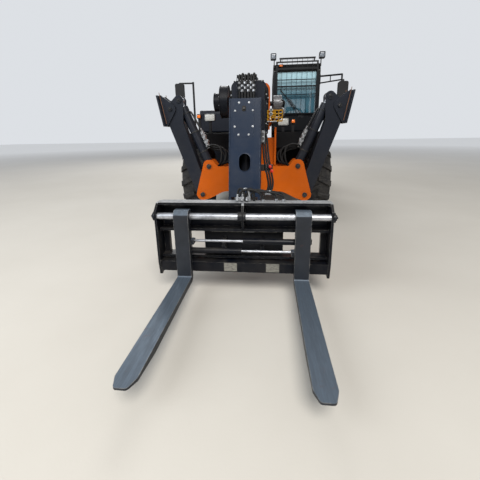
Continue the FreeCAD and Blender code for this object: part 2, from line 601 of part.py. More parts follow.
def fork(lug_z):
    """Left fork: eye round the shaft, shank, heel and tapered blade with a pointed tip."""
    low, high = FORK_X - FORK_WIDTH / 2, FORK_X + FORK_WIDTH / 2
    tip = SHANK_FRONT - FORK_LENGTH
    rows = (
        (SHANK_BACK, SHAFT_Z, 0), (SHANK_BACK, BLADE_TOP - BLADE_THICK, 55),
        (tip + 300, BLADE_TOP - BLADE_THICK, 0), (tip, BLADE_TOP - BLADE_TIP_THICK, 0),
        (tip, BLADE_TOP, 0), (SHANK_FRONT, BLADE_TOP, 14), (SHANK_FRONT, SHAFT_Z + 30, 20),
        (SHANK_FRONT + 30, SHAFT_Z + 62, 15), (SHAFT_Y + 18, SHAFT_Z + 62, 15),
        (SHAFT_Y + 46, SHAFT_Z + 22, 18), (SHAFT_Y + 46, SHAFT_Z - 22, 18),
        (SHAFT_Y + 10, SHAFT_Z - 55, 14), (SHANK_BACK, SHAFT_Z - 60, 0),
    )
    body = slab("x", rows[1:], low, high)
    plan = slab("z", ((low, 0, 0), (low, tip + 70, 60), (low + 26, tip, 22), (high - 26, tip, 22),
                      (high, tip + 70, 60), (high, 0, 0)), 0, 1000)
    body = body.common(plan)
    bore = disc("x", (SHAFT_Y, SHAFT_Z), SHAFT_RADIUS + PIN_PLAY, low, high)
    lug = block(low - 26, low + 2, SHANK_BACK - 20, POSITIONER_Y + 16, lug_z - 20, lug_z + 20)
    return fuse(body, lug).cut(bore)


def positioner_rod(z):
    """Rod that reaches from the left fork's lug into its barrel on the other side."""
    lug = FORK_X - FORK_WIDTH / 2 - 26
    return disc("x", (POSITIONER_Y, z), POSITIONER_ROD, -155, lug)


def axle(y):
    """Axle beam with its differential housing and a yoke for a kingpin at each end."""
    housing = Part.makeCylinder(DIFFERENTIAL_RADIUS, 330, V(0, y - 165, AXLE_Z), V(0, 1, 0))
    pad = block(-150, 150, y - 110, y + 110, AXLE_Z + 120, FRAME_ARCH)
    tube = disc("x", (y, AXLE_Z), AXLE_BEAM_RADIUS, -620, 620)
    shoulders = [slab("z", ((sign * 120, y + 140, 0), (sign * 330, y + 96, 0),
                            (sign * 330, y - 96, 0), (sign * 120, y - 140, 0)),
                      AXLE_Z - 70, AXLE_Z + 70) for _, sign in SIDES]
    yokes = []
    for _, sign in SIDES:
        jaw = slab("y", ((sign * 590, AXLE_Z + 110, 0), (sign * 720, AXLE_Z + YOKE_HALF, 0),
                         (sign * 868, AXLE_Z + YOKE_HALF, 0), (sign * 868, AXLE_Z - YOKE_HALF, 0),
                         (sign * 720, AXLE_Z - YOKE_HALF, 0), (sign * 590, AXLE_Z - 110, 0)),
                   y - 75, y + 75)
        throat = YOKE_HALF - YOKE_THICK
        room = block(*sorted((sign * 690, sign * 900)), y - 80, y + 80,
                     AXLE_Z - throat, AXLE_Z + throat)
        holes = Part.makeCylinder(TRUNNION_RADIUS + PIN_PLAY, 500,
                                  V(sign * KINGPIN_X, y, AXLE_Z - 250))
        yokes.append(jaw.cut(room).cut(holes))
    return fuse(housing, pad, tube, *shoulders, *yokes)


def knuckle(y):
    """Left knuckle: block between the yoke's jaws, its kingpin, and the stub for the wheel."""
    tall = YOKE_HALF - YOKE_THICK - SIDE_PLAY
    post = slab("z", [(KINGPIN_X + x, y + v, 26) for x, v in
                      ((-66, -60), (60, -60), (60, 60), (-66, 60))], AXLE_Z - tall, AXLE_Z + tall)
    trunnion = disc("z", (KINGPIN_X, y), TRUNNION_RADIUS, AXLE_Z - YOKE_HALF + 4,
                    AXLE_Z + YOKE_HALF - 4)
    stub = disc("x", (y, AXLE_Z), 108, KINGPIN_X + 40, TRACK_HALF - HUB_BACK - SEAT_PLAY)
    return fuse(post, trunnion, stub)


def rim(y):
    """Left rim: barrel with flanges, set-back disc and stepped planetary hub."""
    half, well = RIM_WIDTH / 2, BEAD_RADIUS - RIM_WALL
    rows = (
        (128, 0), (128, 95), (96, 95), (96, HUB_RADIUS), (46, HUB_RADIUS), (46, well),
        (half, well), (half, BEAD_RADIUS), (-half, BEAD_RADIUS), (-half, well), (18, well),
        (18, HUB_RADIUS), (-HUB_BACK, HUB_RADIUS), (-HUB_BACK, 0),
    )
    points = [V(TRACK_HALF + x, y, AXLE_Z + r) for x, r in rows]
    face = Part.Face(Part.makePolygon(points + points[:1]))
    return face.revolve(V(TRACK_HALF, y, AXLE_Z), V(1, 0, 0), 360)


def carcass(y):
    """Tyre body in flats, so that each lug stands on a plane."""
    step = 2 * math.pi / CARCASS_FLATS
    bead = (BEAD_RADIUS + SEAT_PLAY) / math.cos(step / 2)
    rows = ((-165, bead), (-TYRE_WIDTH / 2, 450), (-188, 570), (-150, CARCASS_RADIUS),
            (150, CARCASS_RADIUS), (188, 570), (TYRE_WIDTH / 2, 450), (165, bead))

    def corner(turn, x, radius):
        angle = turn * step
        return V(TRACK_HALF + x, y + radius * math.sin(angle), AXLE_Z + radius * math.cos(angle))

    faces = []
    for turn in range(CARCASS_FLATS):
        for number, (x, radius) in enumerate(rows):
            next_x, next_radius = rows[(number + 1) % len(rows)]
            ring = [corner(turn, x, radius), corner(turn, next_x, next_radius),
                    corner(turn + 1, next_x, next_radius), corner(turn + 1, x, radius)]
            faces.append(Part.Face(Part.makePolygon(ring + ring[:1])))
    solid = Part.Solid(Part.Shell(faces))
    return solid if solid.Volume > 0 else solid.reversed()


def lug_blank(y):
    """One lug of the outer row at the top of the tyre, from the shoulder past the middle."""
    rows = ((TRACK_HALF + 197, y - LUG_TOE, 0), (TRACK_HALF + 197, y + 4, 0),
            (TRACK_HALF - 14, y + LUG_TOE, 0), (TRACK_HALF - 14, y + 34, 0))
    return slab("z", rows, AXLE_Z + CARCASS_RADIUS - 40, AXLE_Z + LUG_TOP)


def tyre(y):
    """Left tyre: carcass with two staggered rows of slanted lugs."""
    outer = lug_blank(y)
    inner = outer.mirror(V(TRACK_HALF, 0, 0), V(1, 0, 0))
    axis, centre = V(1, 0, 0), V(TRACK_HALF, y, AXLE_Z)
    pitch = 360.0 / LUGS_PER_ROW
    lugs = []
    for number in range(LUGS_PER_ROW):
        for blank, offset in ((outer, 0.0), (inner, pitch / 2)):
            lug = blank.copy()
            lug.rotate(centre, axis, number * pitch + offset)
            lugs.append(lug)
    return fuse(carcass(y), *lugs)


def fender(y, lip, reach):
    """Left mudguard over a wheel: flat top with sloping ends, on a foot at the frame plate."""
    outer = ((y - FENDER_HALF - lip, FENDER_TOP - 230, 0), (y - FENDER_HALF, FENDER_TOP, 60),
             (y + FENDER_HALF, FENDER_TOP, 60), (y + FENDER_HALF + 100, FENDER_TOP - 190, 0))
    inner = tuple((u, v - FENDER_THICK, r) for u, v, r in outer)
    cover = slab("x", outer + tuple(reversed(inner)), PLATE_OUTER, reach)
    foot = block(PLATE_OUTER, PLATE_OUTER + FENDER_THICK, y - 200, y + 200, FRAME_TOP - 60,
                 FENDER_TOP - 10)
    return fuse(cover, foot)


def fenders(y, lip, reach):
    return group([on_side(fender(y, lip, reach), sign) for _, sign in SIDES])


def counterweight():
    """Cast weight behind the rear wheels, with cut corners and the tow jaw."""
    low, top, half = COUNTERWEIGHT_LOW, COUNTERWEIGHT_TOP, COUNTERWEIGHT_HALF
    rows = ((COUNTERWEIGHT_FRONT, low, 0), (REAR_REACH - 25, low, 20),
            (REAR_REACH, low + 160, 60), (REAR_REACH, top - 140, 60), (REAR_REACH - 90, top, 60),
            (COUNTERWEIGHT_FRONT, top, 0))
    inside = half - COUNTERWEIGHT_CUT
    corner, past = REAR_REACH - COUNTERWEIGHT_CUT, REAR_REACH + 10
    plan = slab("z", ((-half, COUNTERWEIGHT_FRONT - 10, 0), (-half, corner, 0),
                      (-inside, past, 0), (inside, past, 0), (half, corner, 0),
                      (half, COUNTERWEIGHT_FRONT - 10, 0)), low - 10, top + 10)
    body = slab("x", rows, -half, half).common(plan)
    notch, access = [block(-JAW_HALF, JAW_HALF, REAR_REACH - JAW_DEPTH, past, z0, z1)
                     for z0, z1 in ((JAW_LOW, JAW_HIGH), (JAW_LID, top + 10))]
    pin = Part.makeCylinder(TOW_BORE, JAW_LID - low + 20, V(0, REAR_REACH - 70, low - 10))
    return body.cut(notch).cut(access).cut(pin)


def cab_rows(inset):
    """Cab seen from the side, over the wheel arch; inset moves every wall inwards (y, z, radius)."""
    i = inset
    return (
        (ARCH_Y + i, CAB_FLOOR + i, 20), (ARCH_Y + i, ARCH_Z + i, 120),
        (CAB_FRONT + i, ARCH_Z + i, 30), (CAB_FRONT + i, 2440, 30),
        (CAB_FRONT + 20 + i, CAB_TOP - ROOF_THICK + (1 if i else 0), 0),
        (CAB_REAR - 60 - i, CAB_TOP - ROOF_THICK + (1 if i else 0), 0),
        (CAB_REAR - i, 2200, 250), (CAB_REAR - i, CAB_FLOOR + i, 60),
    )


def window_cuts(depth):
    """Front, rear, boom-side and quarter windows: boxes of the given depth at mid-wall."""
    half = depth / 2
    front_mid = CAB_FRONT + CAB_WALL / 2
    rear_mid = CAB_REAR - CAB_WALL / 2
    inner_mid = CAB_INNER + CAB_WALL / 2
    outer_mid = CAB_OUTER - CAB_WALL / 2
    x0, x1 = CAB_INNER + POST, CAB_OUTER - POST
    return [
        block(x0, x1, front_mid - half, front_mid + half, WINDSCREEN_LOW, WINDSCREEN_HIGH),
        block(x0, x1, rear_mid - half, rear_mid + half, WINDOWS_LOW, REAR_WINDOW_HIGH),
        block(inner_mid - half, inner_mid + half, 460, 1760, WINDOWS_LOW, WINDOWS_HIGH),
        block(outer_mid - half, outer_mid + half, 460, DOOR_FRONT - POST, WINDOWS_LOW,
              WINDOWS_HIGH),
    ]


def cab_frame():
    """Hollow cab body with window openings and a doorway; the roof closes its top."""
    shell = slab("x", cab_rows(0), CAB_INNER, CAB_OUTER)
    shell = shell.cut(block(0, CAB_STEP, 0, 3000, 0, CAB_STEP_Z))
    room = slab("x", cab_rows(CAB_WALL), CAB_INNER + CAB_WALL, CAB_OUTER - CAB_WALL)
    room = room.cut(block(0, CAB_STEP + CAB_WALL, 0, 3000, 0, CAB_STEP_Z + CAB_WALL))
    doorway = slab("x", ((DOOR_FRONT, DOOR_SILL, 40), (DOOR_REAR, DOOR_SILL, 40),
                         (DOOR_REAR, DOOR_HEAD, 60), (DOOR_FRONT, DOOR_HEAD, 60)),
                   CAB_OUTER - CAB_WALL - 1, CAB_OUTER + 1)
    body = shell.cut(room).cut(doorway).cut(group(window_cuts(CAB_WALL + 2)))
    return fuse(body, *door_brackets())


def cab_glass():
    return group(window_cuts(GLASS))


def cab_roof():
    rows = ((CAB_FRONT + 20, CAB_TOP - ROOF_THICK, 0), (CAB_FRONT + 60, CAB_TOP, 50),
            (CAB_REAR - 90, CAB_TOP, 50), (CAB_REAR - 60, CAB_TOP - ROOF_THICK, 0))
    return slab("x", rows, CAB_INNER, CAB_OUTER)


def cab_guard():
    """Grid of bars before the windscreen, with two posts that hold it to the cab's corners."""
    x0, x1 = CAB_INNER + POST, CAB_OUTER - POST
    front, back = GUARD_Y, GUARD_Y + GUARD_DEPTH
    top_bar, second_bar, low_bar = GUARD_BARS[0][0], GUARD_BARS[1][0], GUARD_BARS[-1][0]
    bars = [block(x0 + trim, x1 - trim, front, back, z - size / 2, z + size / 2)
            for z, size, trim in GUARD_BARS]
    bars += [block(x - 10, x + 10, front, back, second_bar, GUARD_TOP)
             for x in (x0 + 60, x1 - 60)]
    posts = [block(x - 14, x + 14, front, back, GUARD_LOW, second_bar + 11) for x in (x0, x1)]
    feet = [block(x - 14, x + 14, back, CAB_FRONT, z, z + 30)
            for x in (x0, x1) for z in (GUARD_LOW, GUARD_LOW + 525)]
    pitch = (x1 - x0) / (GUARD_RODS + 1)
    rods = [block(x0 + pitch * n - 3, x0 + pitch * n + 3, front + 2, front + 8, low_bar, top_bar)
            for n in range(1, GUARD_RODS + 1)]
    return fuse(*bars, *posts, *feet, *rods)


def door_hinge():
    """Place of the door's hinge line in plan (x, y)."""
    return CAB_OUTER + HINGE_RADIUS + 4, DOOR_REAR + 4


def cab_door():
    """Door leaf with its window, and the hinge tube at its rear edge."""
    inner, outer = CAB_OUTER - DOOR_THICK, CAB_OUTER
    gap = PANEL_GAP
    rows = ((DOOR_FRONT + gap, DOOR_SILL + gap, 40), (DOOR_REAR - gap, DOOR_SILL + gap, 40),
            (DOOR_REAR - gap, DOOR_HEAD - gap, 60), (DOOR_FRONT + gap, DOOR_HEAD - gap, 60))
    leaf = slab("x", rows, inner, outer)
    x, y = door_hinge()
    pieces = []
    for z in HINGE_ZS:
        top = z + HINGE_LENGTH
        pieces += [Part.makeCylinder(HINGE_RADIUS, HINGE_LENGTH, V(x, y, z)),
                   block(outer, outer + 14, y - 70, y - 14, z, top),
                   block(outer + 6, outer + 14, y - 20, y, z, top)]
    bores = [Part.makeCylinder(HINGE_PIN + PIN_PLAY, HINGE_LENGTH, V(x, y, z)) for z in HINGE_ZS]
    return fuse(leaf.cut(door_window(DOOR_THICK + 2)), *pieces).cut(group(bores))


def door_brackets():
    """Hinge pins on the cab's rear post, each held above and below the door's knuckle."""
    x, y = door_hinge()
    pieces = []
    for z in HINGE_ZS:
        above = z + HINGE_LENGTH + 2
        pieces += [Part.makeCylinder(HINGE_PIN, HINGE_LENGTH + 44, V(x, y, z - 22)),
                   block(CAB_OUTER, x + 12, y - 6, y + 40, z - 22, z - 2),
                   block(CAB_OUTER, x + 12, y - 6, y + 40, above, above + 20)]
    return pieces


def door_window(depth):
    mid = CAB_OUTER - DOOR_THICK / 2
    front, rear, low, top = DOOR_FRONT + 80, DOOR_REAR - 80, DOOR_SILL + 320, DOOR_HEAD - 70
    return slab("x", ((front, low, 60), (rear, low, 60), (rear, top, 60), (front, top, 60)),
                mid - depth / 2, mid + depth / 2)


def seat():
    """Driver's seat: box, cushion with raised flanks, backrest with wings, headrest, armrests."""
    floor, top = CAB_FLOOR + CAB_WALL, 1180
    box = slab("x", ((1300, floor, 0), (1640, floor, 0), (1660, top, 0), (1280, top, 0)),
               SEAT_X - 190, SEAT_X + 190)
    cushion = slab("x", ((1180, top, 0), (1690, top, 0), (1690, 1290, 40), (1180, 1300, 50)),
                   SEAT_X - SEAT_HALF, SEAT_X + SEAT_HALF)
    back = slab("x", ((1600, 1290, 0), (1720, 1290, 0), (1785, 1850, 40), (1685, 1860, 50)),
                SEAT_X - SEAT_HALF + 10, SEAT_X + SEAT_HALF - 10)
    head = slab("x", ((1702, 1875, 20), (1780, 1875, 20), (1796, 1985, 30), (1712, 1990, 30)),
                SEAT_X - 130, SEAT_X + 130)
    flanks = [slab("x", ((1185, 1290, 0), (1640, 1280, 0), (1640, 1330, 20), (1210, 1330, 30)),
                   *sorted((SEAT_X + sign * (SEAT_HALF - 60), SEAT_X + sign * SEAT_HALF)))
              for _, sign in SIDES]
    wings = [slab("x", ((1570, 1340, 20), (1640, 1290, 0), (1700, 1800, 0), (1650, 1790, 20)),
                  *sorted((SEAT_X + sign * (SEAT_HALF - 60), SEAT_X + sign * (SEAT_HALF - 10))))
             for _, sign in SIDES]
    arms = [slab("x", ((1400, 1500, 15), (1680, 1500, 0), (1690, 1550, 0), (1400, 1550, 15)),
                 *sorted((SEAT_X + sign * (SEAT_HALF - 20), SEAT_X + sign * (SEAT_HALF + 30))))
            for _, sign in SIDES]
    posts = [bar(V(SEAT_X + sign * 60, 1735, 1840), V(SEAT_X + sign * 60, 1745, 1880), 7)
             for _, sign in SIDES]
    return fuse(box, cushion, back, head, *flanks, *wings, *arms, *posts)


def dashboard():
    """Console behind the windscreen with the column and the steering wheel."""
    middle = SEAT_X
    low = ARCH_Z + CAB_WALL
    front = CAB_FRONT + CAB_WALL + 40
    console = slab("x", ((front, low, 0), (760, low, 0), (700, 1560, 40), (front, 1640, 30)),
                   middle - 260, middle + 260)
    base, top = V(middle, 640, low + 60), V(middle, 900, 1720)
    column = bar(base, top, 30)
    tilt = (top - base).normalize()
    wheel = Part.makeCylinder(185, 26, top, tilt).cut(Part.makeCylinder(160, 26, top, tilt))
    spoke = Part.makeCylinder(45, 26, top, tilt)
    arms = block(middle - 170, middle + 170, -14, 14, 0, 12)
    arms.rotate(V(0, 0, 0), V(1, 0, 0), math.degrees(math.atan2(-tilt.y, tilt.z)))
    arms.translate(V(0, top.y, top.z))
    return fuse(console, column, wheel, spoke, arms)


def engine_bay():
    """Tray on the outriggers with the front and inner walls that carry the hood."""
    tray = block(-POD_OUTER + 10, -POD_INNER, POD_FRONT + 40, POD_REAR - 45, OUTRIGGER_TOP,
                 OUTRIGGER_TOP + 20)
    front = block(-POD_OUTER + 40, -POD_INNER, POD_FRONT + 40, POD_FRONT + 60,
                  OUTRIGGER_TOP + 20, POD_TOP - 60)
    rear = block(-POD_OUTER + 40, -POD_INNER, POD_REAR - 65, POD_REAR - 45,
                 OUTRIGGER_TOP + 20, POD_TOP - 170)
    inner = block(-POD_INNER - 20, -POD_INNER, POD_FRONT + 40, POD_CREST - 20, OUTRIGGER_TOP,
                  POD_TOP - POD_WALL - SEAT_PLAY)
    return fuse(tray, front, rear, inner)


def engine_block():
    return block(-POD_OUTER + 140, -POD_INNER - 115, POD_FRONT + 245, POD_REAR - 290,
                 OUTRIGGER_TOP + 20, ARCH_Z + 60)


def pod_rows(inset):
    i = inset
    return ((POD_FRONT + i, OUTRIGGER_TOP + 30 - (50 if i else 0), 0),
            (POD_FRONT + i, ARCH_Z + 20 + i, 60), (POD_NOSE + i, ARCH_Z + 20 + i, 30),
            (POD_NOSE + i, POD_TOP - i, 70), (POD_CREST, POD_TOP - i, 0),
            (POD_REAR - i, POD_TOP - 90 - i, 70),
            (POD_REAR - i, OUTRIGGER_TOP + 30 - (50 if i else 0), 0))


def engine_hood():
    """Hood shell over the engine: a sunk grille of slots in its flank, slots in its rear."""
    outer = slab("x", pod_rows(0), -POD_OUTER, -POD_INNER)
    room = slab("x", pod_rows(POD_WALL), -POD_OUTER + POD_WALL, -POD_INNER + 1)
    frame = ((GRILLE_FRONT, GRILLE_LOW, 40), (GRILLE_REAR, GRILLE_LOW, 40),
             (GRILLE_REAR, GRILLE_HIGH, 40), (GRILLE_FRONT, GRILLE_HIGH, 40))
    recess = slab("x", frame, -POD_OUTER - 1, -POD_OUTER + GRILLE_RECESS)
    pitch = (GRILLE_REAR - GRILLE_FRONT - 40) / GRILLE_SLOTS
    starts = [GRILLE_FRONT + 32 + pitch * n for n in range(GRILLE_SLOTS)]
    slots = [block(-POD_OUTER - 1, -POD_OUTER + POD_WALL + 1, y, y + pitch * 0.66,
                   GRILLE_LOW + 30, GRILLE_HIGH - 30) for y in starts]
    rear = [block(-POD_OUTER + 130, -POD_INNER - 130, POD_REAR - POD_WALL - 1, POD_REAR + 1,
                  GRILLE_LOW + 70 * n, GRILLE_LOW + 70 * n + 36) for n in range(REAR_SLOTS)]
    return outer.cut(room).cut(recess).cut(group(slots)).cut(group(rear))


def tanks():
    """Fuel tank under the cab and oil tank under the engine, hung from the outriggers."""
    top = OUTRIGGER_TOP - OUTRIGGER_SIZE
    end = WHEELBASE - TYRE_RADIUS - TANK_GAP
    shapes = []
    for sign, start, finish in ((1, 1400, end - 100), (-1, 960, end)):
        def prism(proud, low, high):
            rows = [(x * sign, z, 50) for x, z in
                    ((TANK_INNER - proud, TANK_LOW - proud), (TANK_OUTER + proud, TANK_LOW - proud),
                     (TANK_OUTER + proud, top), (TANK_INNER - proud, top))]
            return slab("y", rows, low, high)
        quarter = (finish - start) / 4
        straps = [prism(STRAP_THICK, y - STRAP_WIDTH / 2, y + STRAP_WIDTH / 2)
                  for y in (start + quarter, finish - quarter)]
        shapes.append(fuse(prism(0, start, finish), *straps))
    return group(shapes)


def steps():
    """Two treads between side plates below the door."""
    inner, outer = CAB_OUTER - 56, CAB_OUTER + 50
    start, end = OUTRIGGER_YS[0] + OUTRIGGER_SIZE / 2 + 20, OUTRIGGER_YS[0] + 390
    treads = [block(inner, outer, start, end, z, z + 25) for z in (430, 615)]
    cheeks = [block(inner, outer - 10, y, y + 12, 410, 790) for y in (start, end - 12)]
    hanger = block(inner, CAB_OUTER - 5, start, end, 780, CAB_FLOOR)
    return fuse(*treads, *cheeks, hanger)


def mirrors():
    """Left mirror on a tube frame from the cab, right mirror on a post from the mudguard."""
    tube = 14.0
    left_arm = [block(CAB_OUTER, CAB_OUTER + 14, 350, 410, 2215, 2375),
                bar(V(CAB_OUTER + 13, 380, 2350), V(MIRROR_REACH - 100, 30, 2310), tube),
                bar(V(MIRROR_REACH - 100, 30, 2316), V(MIRROR_REACH - 100, 30, 2150), tube),
                bar(V(CAB_OUTER + 13, 380, 2240), V(MIRROR_REACH - 100, 30, 2230), tube - 3)]
    left_glass = mirror_head(MIRROR_REACH - 80, 10, 2075)
    post = [bar(V(-1170, 400, 1420), V(-1170, 400, 2330), tube + 4),
            bar(V(-1170, 400, 2310), V(-MIRROR_REACH + 80, 380, 2310), tube),
            bar(V(-MIRROR_REACH + 80, 380, 2316), V(-MIRROR_REACH + 80, 380, 2200), tube)]
    right_glass = mirror_head(-MIRROR_REACH + 80, 380, 2180)
    return group([fuse(*left_arm, left_glass), fuse(*post, right_glass)])


def mirror_head(x, y, z):
    """Mirror housing with rounded corners."""
    return slab("y", ((x - 80, z - 125, 30), (x + 80, z - 125, 30), (x + 80, z + 125, 30),
                      (x - 80, z + 125, 30)), y - 35, y + 35)


def lamp_box(x, y, z, width, height, depth=70.0):
    return slab("y", ((x - width / 2, z - height / 2, 14), (x + width / 2, z - height / 2, 14),
                      (x + width / 2, z + height / 2, 14), (x - width / 2, z + height / 2, 14)),
                y - depth / 2, y + depth / 2)


def lamps():
    """Road lamps on stalks from the front mudguards, work lamps over the cab, rear lamps."""
    shapes = []
    for x, y, z, width, height in LAMPS:
        stalk = block(x - 20, x + 20, y - 15, y + 15, FENDER_TOP, z)
        shapes.append(fuse(lamp_box(x, y, z, width, height), stalk))
    for x in WORK_LAMPS:
        body = lamp_box(x, GUARD_Y, 2655, 96, 100)
        inward = min(max(x, CAB_INNER + 12), CAB_OUTER - 12)
        stalk = block(inward - 8, inward + 8, GUARD_Y - 8, GUARD_Y + 8, 2490, 2640)
        arm = block(inward - 8, inward + 8, GUARD_Y - 8, CAB_FRONT + 90, 2490, 2506)
        shapes.append(fuse(body, stalk, arm).cut(cab_roof()))
    for _, sign in SIDES:
        shapes.append(lamp_box(sign * 800, REAR_REACH + REAR_LAMP_PROUD / 2, 1000, 220, 100,
                               REAR_LAMP_PROUD))
    return group(shapes)


def build():
    save("frame_left", frame_side())
    save("frame_right", mirrored(frame_side()))
    save("frame_cross", frame_cross())
    save("front_bracket", front_bracket())
    save("counterweight", counterweight())
    save("engine_block", engine_block())
    save("engine_bay", engine_bay())
    save("engine_hood", engine_hood())
    save("tanks", tanks())
    save("steps", steps())
    save("front_axle", axle(0))
    save("rear_axle", axle(WHEELBASE))
    save("front_fenders", fenders(0, FRONT_LIP, FRONT_FENDER_REACH))
    save("rear_fenders", fenders(WHEELBASE, REAR_LIP, REAR_FENDER_REACH))
    save("lamps", lamps())
    save("mirrors", mirrors())
    save("cab_frame", cab_frame())
    save("cab_roof", cab_roof())
    save("cab_guard", cab_guard())
    save("cab_glass", cab_glass())
    save("cab_door", cab_door())
    save("door_glass", door_window(GLASS))
    save("seat", seat())
    save("dashboard", dashboard())
    save("boom_outer", boom_outer())
    save("hose_reels", hose_reels())
    save("boom_mid", boom_mid())
    save("boom_inner", boom_inner())
    save("boom_head", boom_head())
    save("lift_barrel", ram_barrel("x", LIFT_BASE, LIFT_TOP, LIFT_BARREL_RADIUS, LIFT_ROD_RADIUS,
                                   LIFT_MOUTH, 70.0, LIFT_PIN_RADIUS))
    save("lift_rod", ram_rod("x", LIFT_BASE, LIFT_TOP, LIFT_ROD_RADIUS, 130, 60, LIFT_EYE_HALF))
    save("tilt_barrel", ram_barrel("x", TILT_BASE, TILT_TOP, TILT_BARREL_RADIUS, TILT_ROD_RADIUS,
                                   TILT_MOUTH, 60.0, TILT_PIN_RADIUS))
    save("tilt_rod", ram_rod("x", TILT_BASE, TILT_TOP, TILT_ROD_RADIUS, 470, 48, TILT_EYE_HALF))
    save("carriage_frame", carriage_frame())
    save("fork_shaft", fork_shaft())
    for side, sign in SIDES:
        rod_z = POSITIONER_ZS[(1 + sign) // 2]
        save("fork_" + side, on_side(fork(rod_z), sign))
        save("positioner_rod_" + side, on_side(positioner_rod(rod_z), sign))
        save("leg_" + side, on_side(stabilizer_leg(), sign))
        save("foot_" + side, on_side(stabilizer_foot(), sign))
        save("leg_barrel_" + side, on_side(
            ram_barrel("y", RAM_BASE, RAM_TOP, STAB_BARREL_RADIUS, STAB_ROD_RADIUS, STAB_MOUTH,
                       80.0, PIN_RADIUS, STAB_Y), sign))
        save("leg_rod_" + side, on_side(
            ram_rod("y", RAM_BASE, RAM_TOP, STAB_ROD_RADIUS, 100, 52,
                    CHEEK_GAP / 2 - SIDE_PLAY, STAB_Y), sign))
        for end, y in (("front", 0.0), ("rear", WHEELBASE)):
            corner = end + "_" + side
            save("knuckle_" + corner, on_side(knuckle(y), sign))
            save("rim_" + corner, on_side(rim(y), sign))
            save("tyre_" + corner, on_side(tyre(y), sign))


os.makedirs("parts", exist_ok=True)
build()
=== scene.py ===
# %% [markdown]
# # A telehandler with stabilizers
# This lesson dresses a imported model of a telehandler: the frame gives every solid and joint,
# and the cells below add materials, tyres, hoses, lamps and small fittings.
# The machine faces -Y, its cab is on +X, and every length is in metres.

# %% Load the frame
import math

import bmesh
import bpy
from mathutils import Matrix, Vector
from mathutils.bvhtree import BVHTree


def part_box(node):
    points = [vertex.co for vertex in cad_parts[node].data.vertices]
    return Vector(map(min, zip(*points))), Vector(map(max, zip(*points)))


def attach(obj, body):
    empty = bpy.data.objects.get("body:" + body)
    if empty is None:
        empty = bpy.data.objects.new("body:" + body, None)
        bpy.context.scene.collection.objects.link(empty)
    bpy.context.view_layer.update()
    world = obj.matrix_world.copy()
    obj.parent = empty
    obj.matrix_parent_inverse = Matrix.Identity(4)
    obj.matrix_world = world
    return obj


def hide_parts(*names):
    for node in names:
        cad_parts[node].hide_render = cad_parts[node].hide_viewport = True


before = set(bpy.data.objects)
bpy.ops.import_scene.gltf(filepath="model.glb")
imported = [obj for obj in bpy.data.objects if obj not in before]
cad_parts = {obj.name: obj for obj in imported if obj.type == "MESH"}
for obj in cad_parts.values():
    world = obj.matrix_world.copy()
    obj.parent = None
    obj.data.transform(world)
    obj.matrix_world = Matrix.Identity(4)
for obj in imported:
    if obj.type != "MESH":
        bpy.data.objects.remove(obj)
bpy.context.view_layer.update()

# %% [markdown]
# Places are counted from the middle of the front axle, as they are in the CAD source,
# so the frame's own front tyre tells where that is.

# %% Places
TYRE_LOW, TYRE_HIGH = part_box("tyre_front_left")
REAR_LOW, REAR_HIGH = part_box("tyre_rear_left")
AXLE_Y = (TYRE_LOW.y + TYRE_HIGH.y) / 2
WHEELBASE = (REAR_LOW.y + REAR_HIGH.y) / 2 - AXLE_Y
TRACK_HALF = (TYRE_LOW.x + TYRE_HIGH.x) / 2
AXLE_Z = 0.6488
SIDES = (("left", 1), ("right", -1))


def place(x, y, z):
    """Point given from the front axle's middle on the ground."""
    return Vector((x, y + AXLE_Y, z))


def linked(name, data):
    """New object in the scene."""
    made = bpy.data.objects.new(name, data)
    bpy.context.scene.collection.objects.link(made)
    return made


# %% [markdown]
# ## Shading with plain sums
# A shader socket is wrapped so that masks can be written as ordinary arithmetic.

# %% Shader sockets as numbers
MARK_BLUR = 0.003  # how softly a rubbed mark ends, in metres
EDGE_SAMPLES, EDGE_TURN, EDGE_RAMP = 4, 0.06, 0.10
BLACK = (0.0, 0.0, 0.0, 1.0)


class Value:
    """A shader output that can be added, multiplied and raised like a number."""

    def __init__(self, graph, socket):
        self.graph = graph
        self.socket = socket

    def maths(self, operation, *operands, clamp=False):
        settings = {"operation": operation, "use_clamp": clamp}
        made = self.graph.node("ShaderNodeMath", settings, dict(enumerate(operands)))
        return Value(self.graph, made.outputs[0])

    def __add__(self, other):
        return self.maths("ADD", self, other)

    def __sub__(self, other):
        return self.maths("SUBTRACT", self, other)

    def __mul__(self, other):
        return self.maths("MULTIPLY", self, other)

    def __truediv__(self, other):
        return self.maths("DIVIDE", self, other)

    def __radd__(self, other):
        return self.maths("ADD", other, self)

    def __rsub__(self, other):
        return self.maths("SUBTRACT", other, self)

    def __rmul__(self, other):
        return self.maths("MULTIPLY", other, self)

    def clamped(self):
        return self.maths("ADD", self, 0.0, clamp=True)

    def above(self, edge, width):
        """0 below the edge, 1 above it, with a ramp of the given width."""
        return ((self - (edge - width / 2)) / width).clamped()


